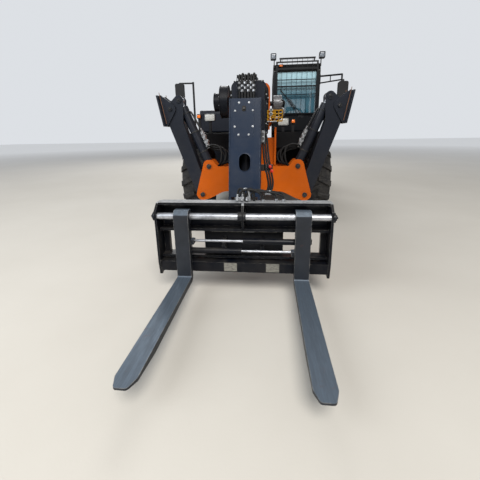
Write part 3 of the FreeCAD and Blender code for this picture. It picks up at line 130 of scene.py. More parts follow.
class Graph:
    """The node tree of one material."""

    def __init__(self, name):
        self.material = bpy.data.materials.new(name)
        self.material.use_nodes = True
        self.tree = self.material.node_tree
        self.tree.nodes.clear()

    def node(self, kind, settings=None, values=None):
        """New node of a kind, with its settings, and values or outputs for its sockets."""
        made = self.tree.nodes.new(kind)
        for name, value in (settings or {}).items():
            setattr(made, name, value)
        for key, value in (values or {}).items():
            if isinstance(value, Value):
                self.tree.links.new(value.socket, made.inputs[key])
            else:
                made.inputs[key].default_value = value
        return made

    def output(self, kind, name, settings=None, values=None):
        return Value(self, self.node(kind, settings, values).outputs[name])

    def place(self):
        return self.output("ShaderNodeTexCoord", "Object")

    def stretched(self, x, y, z):
        return self.output("ShaderNodeVectorMath", "Vector", {"operation": "MULTIPLY"},
                           {0: self.place(), 1: (x, y, z)})

    def noise(self, scale, detail=3.0, rough=0.55, vector=None):
        return self.output("ShaderNodeTexNoise", "Fac", None,
                           {"Vector": vector or self.place(), "Scale": scale,
                            "Detail": detail, "Roughness": rough})

    def mix(self, factor, first, second):
        """Colour between two colours."""
        return Value(self, self.node("ShaderNodeMix", {"data_type": "RGBA"},
                                     {0: factor, 6: first, 7: second}).outputs[2])

    def wave(self, direction, scale, distortion=0.0):
        return self.output("ShaderNodeTexWave", "Fac", {"bands_direction": direction},
                           {"Vector": self.place(), "Scale": scale, "Distortion": distortion})

    def bump(self, height, distance, strength=1.0):
        return self.output("ShaderNodeBump", "Normal", None,
                           {"Height": height, "Distance": distance, "Strength": strength})

    def upward(self):
        """1 on faces that look up, 0 on the others."""
        normal = self.output("ShaderNodeNewGeometry", "Normal")
        split = self.output("ShaderNodeSeparateXYZ", "Z", None, {0: normal})
        return split.clamped()

    def height(self):
        return self.output("ShaderNodeSeparateXYZ", "Z", None, {0: self.place()})

    def between(self, axis, low, high):
        """1 where the place along an axis lies between two levels."""
        level = self.output("ShaderNodeSeparateXYZ", axis, None, {0: self.place()})
        return level.above(low, MARK_BLUR) * (1.0 - level.above(high, MARK_BLUR))

    def edges(self, radius):
        """1 on outward edges within the radius, 0 on flats."""
        rounded = self.output("ShaderNodeBevel", "Normal", {"samples": EDGE_SAMPLES},
                              {"Radius": radius})
        flat = self.output("ShaderNodeNewGeometry", "Normal")
        along = self.output("ShaderNodeVectorMath", "Value", {"operation": "DOT_PRODUCT"},
                            {0: rounded, 1: flat})
        return (1.0 - along).above(EDGE_TURN, EDGE_RAMP)

    def finish(self, values):
        """Ends the tree in one Principled surface."""
        surface = self.node("ShaderNodeBsdfPrincipled", None, values)
        end = self.node("ShaderNodeOutputMaterial")
        self.tree.links.new(surface.outputs[0], end.inputs[0])
        return self.material


def rgb(red, green, blue):
    """Linear colour from display values of 0 to 255."""
    def linear(value):
        share = value / 255
        return share / 12.92 if share < 0.04045 else ((share + 0.055) / 1.055) ** 2.4
    return (linear(red), linear(green), linear(blue), 1.0)


def scaled(colour, factor, added=0.0):
    """Lighter or darker colour."""
    return tuple(min(1.0, channel * factor + added) for channel in colour[:3]) + (1.0,)


# %% [markdown]
# ## Painted and bare metal
# One recipe paints every panel: slow colour drift, road dust on what looks up and low down,
# a fine orange-peel bump, and bare or dark metal where edges are knocked.

# %% Paint
DUST = rgb(150, 140, 124)
SHADE = 0.72  # how dark the darker patches of a paint are
SPLASH_HEIGHT, SPLASH_RAMP = 0.9, 1.6  # dust thins out around this height above the ground


def paint(name, colour, rough=0.42, dust=0.25, wear=0.5, under=rgb(120, 118, 114), coat=0.1,
          edge=0.004, marks=()):
    """Paint; marks are (x0, x1, z0, z1, strength) where it is rubbed through to the metal."""
    graph = Graph(name)
    drift = graph.noise(1.7, 4.0)
    fine = graph.noise(90.0, 2.0)
    base = graph.mix(drift.above(0.5, 0.5), scaled(colour, SHADE), colour)
    low = 1.0 - graph.height().above(SPLASH_HEIGHT, SPLASH_RAMP)
    settle = graph.noise(6.0, 5.0, 0.7).above(0.52, 0.3)
    dusty = ((graph.upward() * 0.55 + low * 0.35) * settle * dust * 2.0).clamped()
    base = graph.mix(dusty, base, DUST)
    knocked = (graph.edges(edge) * graph.noise(35.0, 4.0, 0.7).above(0.52, 0.12) * wear).clamped()
    scratches = graph.noise(7.0, 6.0, 0.8, graph.stretched(9.0, 9.0, 1.2)).above(0.72, 0.05)
    worn = (knocked + scratches * (wear * 0.35)).clamped()
    rubbed = graph.noise(30.0, 5.0, 0.75, graph.stretched(1.0, 1.0, 3.0)).above(0.40, 0.25)
    for x0, x1, z0, z1, strength in marks:
        inside = graph.between(0, x0, x1) * graph.between(2, z0, z1)
        worn = (worn + inside * rubbed * strength).clamped()
    base = graph.mix(worn, base, under)
    roughness = rough + 0.35 * dusty + 0.12 * (drift - 0.5) + 0.1 * worn
    return graph.finish({
        "Base Color": base, "Roughness": roughness.clamped(), "Metallic": 0.35 * worn,
        "Coat Weight": coat * (1.0 - dusty), "Coat Roughness": 0.25, "Specular IOR Level": 0.15,
        "Normal": graph.bump(fine + 0.6 * drift, 0.0006, 0.35),
    })


ORANGE = paint("orange_paint", rgb(181, 81, 0), 0.46, 0.04, 0.3, rgb(96, 62, 40), 0.05)
ANTHRACITE = paint("anthracite_paint", rgb(24, 28, 37), 0.44, 0.07, 0.45, rgb(104, 104, 104))
SLATE = paint("slate_paint", rgb(11, 29, 50), 0.62, 0.07, 0.35, rgb(120, 124, 130))
CAB_BLACK = paint("cab_paint", rgb(10, 13, 18), 0.35, 0.08, 0.25, rgb(80, 80, 80))
CARRIAGE_MARKS = (  # x0, x1, z0, z1, strength
    (-0.161, -0.048, 0.230, 0.308, 0.9), (0.206, 0.319, 0.230, 0.308, 0.8),
    (-0.290, 0.300, 0.541, 0.549, 0.5),
)
CARRIAGE = paint("carriage_paint", rgb(6, 10, 19), 0.36, 0.05, 0.5, rgb(136, 134, 126), 0.06,
                 0.005, CARRIAGE_MARKS)
# The top rail's upward faces are turned pale grey in patches across its whole width.
PALE_RAIL_TOP = paint("pale_rail_top", rgb(19, 25, 36), 0.42, 0.3, 1.0, rgb(150, 152, 154), 0.1,
                    0.01, ((-0.75, 0.75, 0.80, 0.86, 0.9),))
NOSE_BLACK = paint("boom_nose_paint", rgb(15, 20, 29), 0.4, 0.06, 0.4, rgb(110, 110, 110))
RIM_PAINT = paint("rim_paint", rgb(196, 196, 190), 0.4, 0.35, 0.4, rgb(90, 70, 55))
REEL = paint("reel_paint", rgb(7, 11, 20), 0.45, 0.05, 0.4, rgb(110, 108, 104), 0.04)


def fork_steel():
    """Dark paint, scraped bright where loads slide, rusty in patches, with a painted sky sheen on
    top.
    """
    graph = Graph("fork_steel")
    patches = graph.noise(5.0, 6.0, 0.7)
    streaks = graph.noise(5.0, 6.0, 0.75, graph.stretched(7.0, 0.7, 7.0))
    base = graph.mix(patches.above(0.5, 0.35), rgb(26, 29, 35), rgb(38, 42, 49))
    scraped = streaks.above(0.55, 0.3) * graph.upward()
    # Every upward face is mixed about a third of the way to bluish grey as a painted sky sheen; the
    # scraped streaks on top are real wear.
    base = graph.mix((graph.upward() * 0.35 + scraped * 0.4).clamped(), base, rgb(112, 126, 140))
    rust = graph.noise(14.0, 6.0, 0.75).above(0.67, 0.08) * 0.25
    base = graph.mix(rust.clamped(), base, rgb(106, 66, 44))
    edge = (graph.edges(0.006) * graph.noise(25.0, 3.0).above(0.45, 0.2) * 0.7).clamped()
    base = graph.mix(edge, base, rgb(150, 148, 143))
    return graph.finish({
        "Base Color": base, "Metallic": (0.35 + 0.4 * scraped).clamped(),
        "Roughness": (0.52 + 0.2 * rust - 0.12 * scraped).clamped(),
        "Normal": graph.bump(patches + 0.4 * streaks, 0.0012, 0.5),
    })


def chrome_rod():
    """Polished rod with oily patches and fine scuffs along it."""
    graph = Graph("polished_rod")
    bands = graph.noise(18.0, 3.0, 0.6)
    scuffs = graph.noise(26.0, 6.0, 0.8, graph.stretched(0.35, 1.0, 1.0)).above(0.69, 0.06)
    base = graph.mix(bands.above(0.55, 0.3), rgb(184, 187, 193), rgb(140, 142, 147))
    base = graph.mix(scuffs * 0.45, base, rgb(70, 70, 74))
    return graph.finish({
        "Base Color": base, "Metallic": 0.75, "Roughness": (0.24 + 0.2 * bands).clamped(),
    })


def iron(name, colour):
    """Cast iron with a grainy skin, dark blots and dust on top."""
    graph = Graph(name)
    grain = graph.noise(120.0, 4.0, 0.7)
    blot = graph.noise(4.0, 5.0, 0.7)
    base = graph.mix(blot.above(0.5, 0.3), scaled(colour, 0.5), colour)
    dusty = (graph.upward() * graph.noise(9.0, 4.0).above(0.45, 0.3) * 0.6).clamped()
    base = graph.mix(dusty, base, DUST)
    return graph.finish({
        "Base Color": base, "Roughness": (0.6 + 0.25 * blot).clamped(), "Metallic": 0.25,
        "Normal": graph.bump(grain, 0.0015, 0.6),
    })


FORK_STEEL = fork_steel()
CHROME = chrome_rod()
IRON = iron("axle_iron", rgb(74, 72, 62))
ENGINE = iron("engine_iron", rgb(82, 84, 86))

# %% [markdown]
# ## Rubber, plastic, glass and cloth
# Each of the other surfaces has its own grain, blots and dust, made from noise and waves.

# %% Other materials
# Painted sky reflection: the glazing turns pale and denser above this height.
SKY_REFLECTION_TOP, SKY_REFLECTION_RAMP = 2.18, 0.34  # the glazing turns paler and denser around this height


def rubber():
    """Tyre rubber: blotched black with pale dust in patches."""
    graph = Graph("tyre_rubber")
    blot = graph.noise(5.0, 5.0, 0.7)
    grain = graph.noise(160.0, 3.0, 0.6)
    base = graph.mix(blot.above(0.5, 0.4), rgb(16, 16, 18), rgb(28, 28, 30))
    dusty = (graph.noise(11.0, 5.0, 0.7).above(0.52, 0.3) * 0.4).clamped()
    base = graph.mix(dusty, base, rgb(84, 80, 75))
    return graph.finish({
        "Base Color": base, "Roughness": (0.74 + 0.2 * blot).clamped(),
        "Normal": graph.bump(grain + 0.7 * blot, 0.0012, 0.5),
    })


def plastic(name, colour, rough=0.55, grain_scale=420.0, dust=0.3, shine=0.28):
    """Moulded plastic with a leather-like grain and some dust."""
    graph = Graph(name)
    grain = graph.output("ShaderNodeTexVoronoi", "Distance", None,
                         {"Vector": graph.place(), "Scale": grain_scale})
    blot = graph.noise(3.0, 4.0)
    base = graph.mix(blot.above(0.55, 0.4), colour, scaled(colour, 1.4, 0.003))
    dusty = (graph.upward() * graph.noise(8.0, 5.0, 0.7).above(0.45, 0.3) * dust).clamped()
    base = graph.mix(dusty, base, DUST)
    return graph.finish({
        "Base Color": base, "Roughness": (rough + 0.3 * dusty + 0.1 * blot).clamped(),
        "Specular IOR Level": shine, "Normal": graph.bump(grain, 0.0004, 0.35),
    })


def glass():
    """Bluish safety glass with a film of dust, and a painted sky reflection that pales its top."""
    graph = Graph("cab_glazing")
    film = graph.noise(3.5, 5.0, 0.7)
    # Painted sky reflection: high on the glazing the colour turns pale blue and the glass less
    # clear.
    high = graph.height().above(SKY_REFLECTION_TOP, SKY_REFLECTION_RAMP)
    base = graph.mix(film.above(0.5, 0.5), rgb(48, 96, 116), rgb(70, 122, 140))
    base = graph.mix(high, base, rgb(186, 222, 232))
    return graph.finish({
        "Base Color": base, "Roughness": (0.03 + 0.08 * film).clamped(), "Coat Weight": 0.8,
        "Coat Roughness": 0.02, "Alpha": (0.34 + 0.12 * film + 0.24 * high).clamped(),
    })


def lens(name, colour, strength=0.0):
    """Ribbed lamp lens, which glows a little where a strength is given."""
    graph = Graph(name)
    ribs = graph.wave("X", 70.0)
    base = graph.mix(ribs, colour, scaled(colour, 1.5, 0.03))
    return graph.finish({
        "Base Color": base, "Roughness": 0.12 + 0.08 * ribs, "Coat Weight": 0.8,
        "Emission Color": colour, "Emission Strength": strength,
        "Normal": graph.bump(ribs, 0.0015, 0.6),
    })


def mirror_glass():
    """Silvered glass with a thin film of dust."""
    graph = Graph("mirror_glass")
    film = graph.noise(9.0, 4.0)
    return graph.finish({
        "Base Color": graph.mix(film.above(0.6, 0.3), rgb(214, 220, 224), rgb(180, 184, 186)),
        "Metallic": 1.0, "Roughness": (0.03 + 0.1 * film).clamped(),
    })


def cloth():
    """Woven seat cover: crossing threads and paler patches."""
    graph = Graph("seat_cloth")
    weave = graph.wave("X", 160.0) * graph.wave("Z", 160.0)
    blot = graph.noise(6.0, 4.0)
    base = graph.mix((weave * 0.6 + blot * 0.3).clamped(), rgb(26, 27, 29), rgb(70, 72, 76))
    return graph.finish({
        "Base Color": base, "Roughness": (0.85 - 0.1 * weave).clamped(),
        "Normal": graph.bump(weave, 0.0012, 0.6),
    })


def braid():
    """Hose cover: fine diagonal wrap marks and grease."""
    graph = Graph("hose_rubber")
    wrap = graph.wave("DIAGONAL", 110.0, 1.0)
    blot = graph.noise(12.0, 4.0)
    base = graph.mix(blot.above(0.5, 0.4), rgb(10, 10, 11), rgb(26, 26, 26))
    return graph.finish({
        "Base Color": base, "Roughness": (0.5 + 0.3 * blot).clamped(),
        "Specular IOR Level": 0.3, "Normal": graph.bump(wrap + blot, 0.0008, 0.5),
    })


def zinc():
    """Plated steel of fittings and bolts, bright with dull spots."""
    graph = Graph("zinc_plate")
    blot = graph.noise(40.0, 4.0, 0.7)
    base = graph.mix(blot.above(0.5, 0.5), rgb(176, 179, 183), rgb(108, 109, 110))
    return graph.finish({
        "Base Color": base, "Metallic": 0.55, "Roughness": (0.28 + 0.3 * blot).clamped(),
        "Normal": graph.bump(blot, 0.0004, 0.4),
    })


RUBBER = rubber()
PLASTIC = plastic("black_plastic", rgb(14, 15, 18), dust=0.06)
MUDGUARD = plastic("mudguard_plastic", rgb(4, 5, 8), 0.75, 300.0, 0.02, 0.10)
TANK = plastic("tank_plastic", rgb(22, 22, 23), 0.5, dust=0.15)
LAMP_SHELL = plastic("lamp_shell", rgb(150, 152, 150), 0.3, 300.0, 0.1)
GLASS = glass()
CLEAR_LENS = lens("clear_lens", rgb(168, 170, 166))
WORK_LENS = lens("work_lens", rgb(84, 90, 98))
AMBER_LENS = lens("amber_lens", rgb(214, 104, 14), 0.08)
RED_LENS = lens("red_lens", rgb(176, 26, 20), 0.1)
MIRROR = mirror_glass()
CLOTH = cloth()
HOSE = braid()
ZINC = zinc()
YELLOW = paint("yellow_paint", rgb(176, 128, 18), 0.45, 0.2, 0.6, rgb(80, 66, 40))
RED_CAP = plastic("red_cap", rgb(188, 40, 32), 0.4)
RUSTY = paint("rusty_edge", rgb(104, 72, 52), 0.7, 0.1, 0.8, rgb(140, 120, 100), 0.0, 0.002)
BOLT = paint("dark_bolt", rgb(30, 32, 36), 0.4, 0.3, 0.9, rgb(150, 148, 144), 0.1, 0.002)
DARK = plastic("dark_gap", rgb(12, 12, 12), 0.8)

# %% [markdown]
# ## Materials on the CAD solids
# Every CAD solid gets one of these materials by its node's name, where the last match counts.
# A few faces get a second one, such as the black nose of the orange boom section.

# %% Materials for the CAD solids
NODE_MATERIALS = (  # start of the node's name, its material
    ("frame_", ORANGE), ("front_bracket", ORANGE), ("counterweight", ANTHRACITE),
    ("engine_block", ENGINE), ("engine_bay", CAB_BLACK), ("engine_hood", ANTHRACITE),
    ("tanks", TANK), ("steps", CAB_BLACK), ("front_axle", IRON), ("rear_axle", IRON),
    ("front_fenders", MUDGUARD), ("rear_fenders", MUDGUARD), ("lamps", PLASTIC),
    ("mirrors", PLASTIC), ("cab_", CAB_BLACK), ("cab_glass", GLASS), ("door_glass", GLASS),
    ("seat", CLOTH), ("dashboard", PLASTIC), ("boom_outer", ORANGE), ("hose_reels", REEL),
    ("boom_mid", ANTHRACITE), ("boom_inner", ANTHRACITE), ("boom_head", SLATE),
    ("lift_barrel", ANTHRACITE), ("lift_rod", CHROME), ("tilt_barrel", ANTHRACITE),
    ("tilt_rod", CHROME), ("carriage_frame", CARRIAGE), ("fork_shaft", CHROME),
    ("fork_left", FORK_STEEL), ("fork_right", FORK_STEEL), ("positioner_rod", CHROME),
    ("leg_", ANTHRACITE), ("foot_", ANTHRACITE), ("leg_rod", CHROME), ("knuckle", IRON),
    ("rim", RIM_PAINT), ("tyre", RUBBER),
)
for name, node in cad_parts.items():
    for start, material in NODE_MATERIALS:
        if name.startswith(start):
            chosen = material
    node.data.materials.clear()
    node.data.materials.append(chosen)
    for polygon in node.data.polygons:
        polygon.material_index = 0

PAINTED_PARTS = (  # node, second material, test of a face's middle and way it looks
    ("boom_outer", NOSE_BLACK,
     lambda middle, ahead: middle.y < place(0, -1.49, 0).y and ahead.x < 0.25),
    ("fork_shaft", NOSE_BLACK, lambda middle, ahead: not 0.07 < abs(middle.x) < 0.735),
    ("carriage_frame", PALE_RAIL_TOP, lambda middle, ahead: middle.z > 0.82 and ahead.z > 0.3),
    ("lamps", RED_LENS, lambda middle, ahead: ahead.y > 0.9 and middle.y > place(0, 4.2, 0).y),
)
for name, material, chosen_face in PAINTED_PARTS:
    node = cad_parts[name]
    node.data.materials.append(material)
    turn = node.matrix_world.to_3x3()
    for polygon in node.data.polygons:
        if chosen_face(node.matrix_world @ polygon.center, turn @ polygon.normal):
            polygon.material_index = 1

# %% [markdown]
# ## Camera, floor and light
# The camera stands before the forks at chest height, tipped down, and its shift moves the
# picture's centre below the lens axis. Three soft lights and a pale sky light the machine on
# a pale floor, whose far end is lifted to the sky's brightness.

# %% Camera and studio
CAMERA_AT = place(0.2154, -5.2016, 1.3880)
YAW, PITCH, ROLL = (math.radians(angle) for angle in (-5.716, 15.399, -0.947))
LENS, SENSOR, LENS_SHIFT, CLIP_END = 21.483, 36.0, -0.0552, 200
FLOOR_REACH = 60.0
HORIZON_START, HORIZON_RAMP = 19.0, 26.0  # the floor's lift grows around this distance
SKY, AMBIENT, BACKDROP = (0.84, 0.87, 0.91, 1.0), 0.46, 0.86
LIGHTS = (  # name, place, place it points at, size, watts, colour
    ("key", (1.6, -10.2, 9.0), (0, -1.0, 1.0), 6.0, 1380, (1.0, 0.97, 0.93)),
    ("fill", (-8.0, -8.0, 6.0), (0, -1.0, 1.0), 8.0, 900, (0.90, 0.95, 1.0)),
    ("back", (-3.0, 10.0, 9.0), (0, 1.0, 1.0), 8.0, 900, (1.0, 1.0, 1.0)),
)


def make_camera():
    ahead = Vector((math.sin(YAW) * math.cos(PITCH), math.cos(YAW) * math.cos(PITCH),
                    -math.sin(PITCH)))
    right = Vector((math.cos(YAW), -math.sin(YAW), 0))
    up = right.cross(ahead)
    across = math.cos(ROLL) * right + math.sin(ROLL) * up
    upright = math.cos(ROLL) * up - math.sin(ROLL) * right
    data = bpy.data.cameras.new("camera")
    data.lens, data.sensor_width, data.shift_y = LENS, SENSOR, LENS_SHIFT
    data.clip_end = CLIP_END
    camera = linked("camera", data)
    turn = Matrix((across, upright, -ahead)).transposed().to_4x4()
    camera.matrix_world = Matrix.Translation(CAMERA_AT) @ turn
    bpy.context.scene.camera = camera


def make_light(name, at, target, size, power, colour):
    data = bpy.data.lights.new(name, "AREA")
    data.shape, data.size, data.energy, data.color = "DISK", size, power, colour
    light = linked(name, data)
    light.location = at
    light.rotation_euler = (Vector(target) - Vector(at)).to_track_quat("-Z", "Y").to_euler()


def make_floor():
    mesh = bpy.data.meshes.new("studio_floor")
    corners = [(x * FLOOR_REACH, y * FLOOR_REACH, 0)
               for x, y in ((-1, -1), (1, -1), (1, 1), (-1, 1))]
    mesh.from_pydata(corners, [], [(0, 1, 2, 3)])
    floor = linked("studio_floor", mesh)
    graph = Graph("pale_floor")
    patch = graph.noise(0.6, 5.0, 0.6)
    base = graph.mix(patch, rgb(176, 171, 162), rgb(190, 186, 178))
    away = graph.output("ShaderNodeVectorMath", "Value", {"operation": "LENGTH"},
                        {0: graph.place()})
    seen = graph.output("ShaderNodeLightPath", "Is Camera Ray")
    lifted = graph.mix(away.above(HORIZON_START, HORIZON_RAMP) * seen, BLACK,
                       rgb(166, 170, 176))
    mesh.materials.append(graph.finish({
        "Base Color": base, "Roughness": 0.85, "Emission Color": lifted, "Emission Strength": 1.0,
        "Normal": graph.bump(graph.noise(60.0, 4.0), 0.002, 0.2)}))


def make_world():
    """Sky that lights at AMBIENT, and shows at BACKDROP to the camera and through the glass."""
    world = bpy.data.worlds.new("studio")
    world.use_nodes = True
    nodes, links = world.node_tree.nodes, world.node_tree.links
    background = nodes["Background"]
    background.inputs[0].default_value = SKY
    rays = nodes.new("ShaderNodeLightPath")
    seen, strength = nodes.new("ShaderNodeMath"), nodes.new("ShaderNodeMath")
    seen.operation, strength.operation = "MAXIMUM", "MULTIPLY_ADD"
    links.new(rays.outputs["Is Camera Ray"], seen.inputs[0])
    links.new(rays.outputs["Is Transmission Ray"], seen.inputs[1])
    links.new(seen.outputs[0], strength.inputs[0])
    strength.inputs[1].default_value = BACKDROP - AMBIENT
    strength.inputs[2].default_value = AMBIENT
    links.new(strength.outputs[0], background.inputs[1])
    bpy.context.scene.world = world


make_camera()
make_floor()
for row in LIGHTS:
    make_light(*row)
make_world()
bpy.context.scene.view_settings.view_transform = "Standard"

# %% [markdown]
# ## Tools for small pieces
# Pieces are gathered in a bmesh and become one object that rides on a body.

# %% Piece tools
CREASE, BEVEL_ANGLE = math.radians(35), math.radians(40)


def mesh_from(name, work):
    """Mesh of a bmesh, with its faces turned outward; the bmesh is freed."""
    bmesh.ops.recalc_face_normals(work, faces=work.faces[:])
    mesh = bpy.data.meshes.new(name)
    work.to_mesh(mesh)
    work.free()
    return mesh


def shade_smooth(mesh, crease=None):
    """Smooth shading, apart from edges sharper than the crease."""
    mesh.polygons.foreach_set("use_smooth", [True] * len(mesh.polygons))
    if crease:
        mesh.set_sharp_from_angle(angle=crease)


def round_edges(piece, width, angle):
    rounding = piece.modifiers.new("rounding", "BEVEL")
    rounding.width, rounding.segments, rounding.limit_method = width, 2, "ANGLE"
    rounding.angle_limit = angle


def from_bmesh(name, work, body, material, bevel=0.0, smooth=True):
    """Object from a bmesh that rides on a body, with its edges rounded by the bevel."""
    mesh = mesh_from(name, work)
    mesh.materials.append(material)
    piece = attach(linked(name, mesh), body)
    if bevel:
        round_edges(piece, bevel, BEVEL_ANGLE)
    if smooth:
        shade_smooth(mesh, CREASE)


def add_box(work, low, high):
    """Box between two corners, added to a bmesh."""
    middle = (Vector(low) + Vector(high)) / 2
    size = Vector(high) - Vector(low)
    turn = Matrix.Translation(middle) @ Matrix.Diagonal((*size, 1.0))
    bmesh.ops.create_cube(work, size=1.0, matrix=turn)


def add_round(work, start, end, radius, end_radius=None, segments=24):
    """Round bar or cone between two points, added to a bmesh."""
    start, end = Vector(start), Vector(end)
    turn = (end - start).to_track_quat("Z", "Y").to_matrix().to_4x4()
    matrix = Matrix.Translation((start + end) / 2) @ turn
    bmesh.ops.create_cone(work, cap_ends=True, segments=segments, radius1=radius,
                          radius2=radius if end_radius is None else end_radius,
                          depth=(end - start).length, matrix=matrix)


def add_bolt(work, at, ahead, radius):
    """Hexagon bolt head on its washer; ahead is the way the head looks."""
    at, ahead = Vector(at), Vector(ahead).normalized()
    add_round(work, at, at + ahead * radius * 0.22, radius * 1.25, segments=20)
    add_round(work, at + ahead * radius * 0.22, at + ahead * radius * 0.95, radius, segments=6)


def bolts(name, places, ahead, radius, body, bevel):
    """Plated bolts at places counted from the front axle."""
    work = bmesh.new()
    for at in places:
        add_bolt(work, place(*at), ahead, radius)
    from_bmesh(name, work, body, ZINC, bevel)


def hose(name, points, radius, body, material=None):
    """Smooth tube along given points."""
    curve = bpy.data.curves.new(name, "CURVE")
    curve.dimensions = "3D"
    spline = curve.splines.new("NURBS")
    spline.points.add(len(points) - 1)
    for control, point in zip(spline.points, points):
        control.co = (*point, 1.0)
    spline.order_u, spline.use_endpoint_u, spline.resolution_u = 4, True, 6
    curve.bevel_depth, curve.bevel_resolution, curve.use_fill_caps = radius, 4, True
    curve.materials.append(material or HOSE)
    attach(linked(name, curve), body)


def rounded_rows(us, vs, radius, steps=5):
    """Corner-rounded rectangle as (u, v) rows."""
    rows = []
    for u, v, start in ((us[1] - radius, vs[1] - radius, 0), (us[0] + radius, vs[1] - radius, 90),
                        (us[0] + radius, vs[0] + radius, 180),
                        (us[1] - radius, vs[0] + radius, 270)):
        for step in range(steps + 1):
            angle = math.radians(start + 90 * step / steps)
            rows.append((u + radius * math.cos(angle), v + radius * math.sin(angle)))
    return rows


def add_prism(work, spots, rows, low, high):
    """Prism of (u, v) rows; spots(u, v, w) gives the place of a corner."""
    bottom = [work.verts.new(spots(u, v, low)) for u, v in rows]
    top = [work.verts.new(spots(u, v, high)) for u, v in rows]
    work.faces.new(bottom)
    work.faces.new(list(reversed(top)))
    for number in range(len(rows)):
        other = (number + 1) % len(rows)
        work.faces.new((bottom[number], top[number], top[other], bottom[other]))


def add_strips(work, lines, ring=False, loop=False):
    """Faces between neighbouring lines of corners.

    ring joins each line's own ends, and loop joins the last line to the first.
    """
    for here, there in zip(lines, lines[1:] + lines[:1] * loop):
        for number in range(len(here) - (not ring)):
            other = (number + 1) % len(here)
            work.faces.new((here[number], here[other], there[other], there[number]))


def add_rounded(work, spots, us, vs, radius, low, high):
    """Plate with rounded corners."""
    add_prism(work, spots, rounded_rows(us, vs, radius), low, high)


def add_rim(work, spots, us, vs, radius, width, low, high):
    """Frame with rounded corners, of the given width outside its opening."""
    inner = rounded_rows(us, vs, radius)
    outer = rounded_rows((us[0] - width, us[1] + width), (vs[0] - width, vs[1] + width),
                         radius + width)
    rings = [[work.verts.new(spots(u, v, w)) for u, v in rows]
             for rows, w in ((inner, low), (inner, high), (outer, high), (outer, low))]
    for number in range(len(inner)):
        other = (number + 1) % len(inner)
        for here, there in zip(rings, rings[1:] + rings[:1]):
            work.faces.new((here[number], there[number], there[other], here[other]))


def add_dome(work, spots, us, vs, bulge, depth, cells=14, corner=0.10):
    """Crowned pad over a rectangle: rounded corners, a swelling front and a flat back."""
    u_mid, v_mid = (us[0] + us[1]) / 2, (vs[0] + vs[1]) / 2
    u_half, v_half = (us[1] - us[0]) / 2, (vs[1] - vs[0]) / 2

    def corner_at(i, j, crowned):
        a, b = 2 * i / cells - 1, 2 * j / cells - 1
        rise = depth + bulge * ((1 - a ** 4) * (1 - b ** 4)) ** 0.5 if crowned else 0.0
        return work.verts.new(spots(u_mid + u_half * a * (1 - corner * b ** 6),
                                    v_mid + v_half * b * (1 - corner * a ** 6), rise))

    grid = [[corner_at(i, j, True) for j in range(cells + 1)] for i in range(cells + 1)]
    for i in range(cells):
        for j in range(cells):
            work.faces.new((grid[i][j], grid[i + 1][j], grid[i + 1][j + 1], grid[i][j + 1]))
    edge = ([(i, 0) for i in range(cells)] + [(cells, j) for j in range(cells)]
            + [(i, cells) for i in range(cells, 0, -1)] + [(0, j) for j in range(cells, 0, -1)])
    front = [grid[i][j] for i, j in edge]
    base = [corner_at(i, j, False) for i, j in edge]
    add_strips(work, [front, base], ring=True)
    work.faces.new(base)


def facing(axis, level, sign):
    """Places on a plane square to an axis; w counts outward from the plane."""
    return {"x": lambda u, v, w: place(level + sign * w, u, v),
            "y": lambda u, v, w: place(u, level + sign * w, v),
            "z": lambda u, v, w: place(u, v, level + sign * w)}[axis]


# %% [markdown]
# ## Seat
# The seat is foam under woven cloth, and each pad swells between its seams. It comes first,
# while the scene is small and a simulation step is quick. A slightly small block is remeshed
# and blown up by a cloth simulation with a little pressure, how far a point may move is
# capped, and the sewn channels are pressed in afterwards with stitches beside them.

# %% Seat tools
SEAT_X = 0.714
REMESH_SIZE, CORNER_ROUND = 0.006, 0.016
PRESSURE, LAST_FRAME = 4.0, 20
STITCH, STITCH_RADIUS, STITCH_SINK = 0.006, 0.0009, 0.0006
STITCH_START = 0.12  # how far before the cloth a stitch is looked for
THREAD = plastic("seat_thread", rgb(120, 122, 126), 0.8, 900.0, 0.0)


def block_mesh(name, rows, low, high):
    """Block whose side outline is given as (y, z) rows, between two levels along x."""
    work = bmesh.new()
    add_prism(work, facing("x", 0.0, 1), rows, low, high)
    bmesh.ops.bevel(work, geom=work.edges[:], offset=CORNER_ROUND, segments=3, affect="EDGES",
                    clamp_overlap=True)
    return mesh_from(name, work)


def evaluated(piece):
    """Mesh of an object with its modifiers applied."""
    graph = bpy.context.evaluated_depsgraph_get()
    return bpy.data.meshes.new_from_object(piece.evaluated_get(graph))


def blown_up(name, mesh, reach):
    """The block remeshed and swelled by pressure, with no point moved further than reach."""
    piece = linked(name, mesh)
    remesh = piece.modifiers.new("remesh", "REMESH")
    remesh.mode, remesh.voxel_size = "VOXEL", REMESH_SIZE
    piece.data = evaluated(piece)
    piece.modifiers.clear()
    still = [vertex.co.copy() for vertex in piece.data.vertices]
    settings = piece.modifiers.new("swell", "CLOTH").settings
    settings.use_pressure = True
    settings.uniform_pressure_force = PRESSURE
    settings.effector_weights.gravity = 0.0
    for frame_number in range(1, LAST_FRAME + 1):
        bpy.context.scene.frame_set(frame_number)
    swollen = evaluated(piece)
    piece.modifiers.clear()
    for vertex, before, after in zip(piece.data.vertices, still, swollen.vertices):
        shift = after.co - before
        if shift.length > reach:
            shift *= reach / shift.length
        vertex.co = before + shift
    bpy.context.scene.frame_set(1)
    return piece


def press(mesh, plane, direction, depth, width):
    """Presses a sewn channel: points near the plane sink along the direction."""
    point, normal = plane
    outward = [max(0.0, -vertex.normal.dot(direction)) for vertex in mesh.vertices]
    for vertex, facing_out in zip(mesh.vertices, outward):
        away = (vertex.co - point).dot(normal)
        vertex.co += direction * depth * math.exp(-(away / width) ** 2) * facing_out


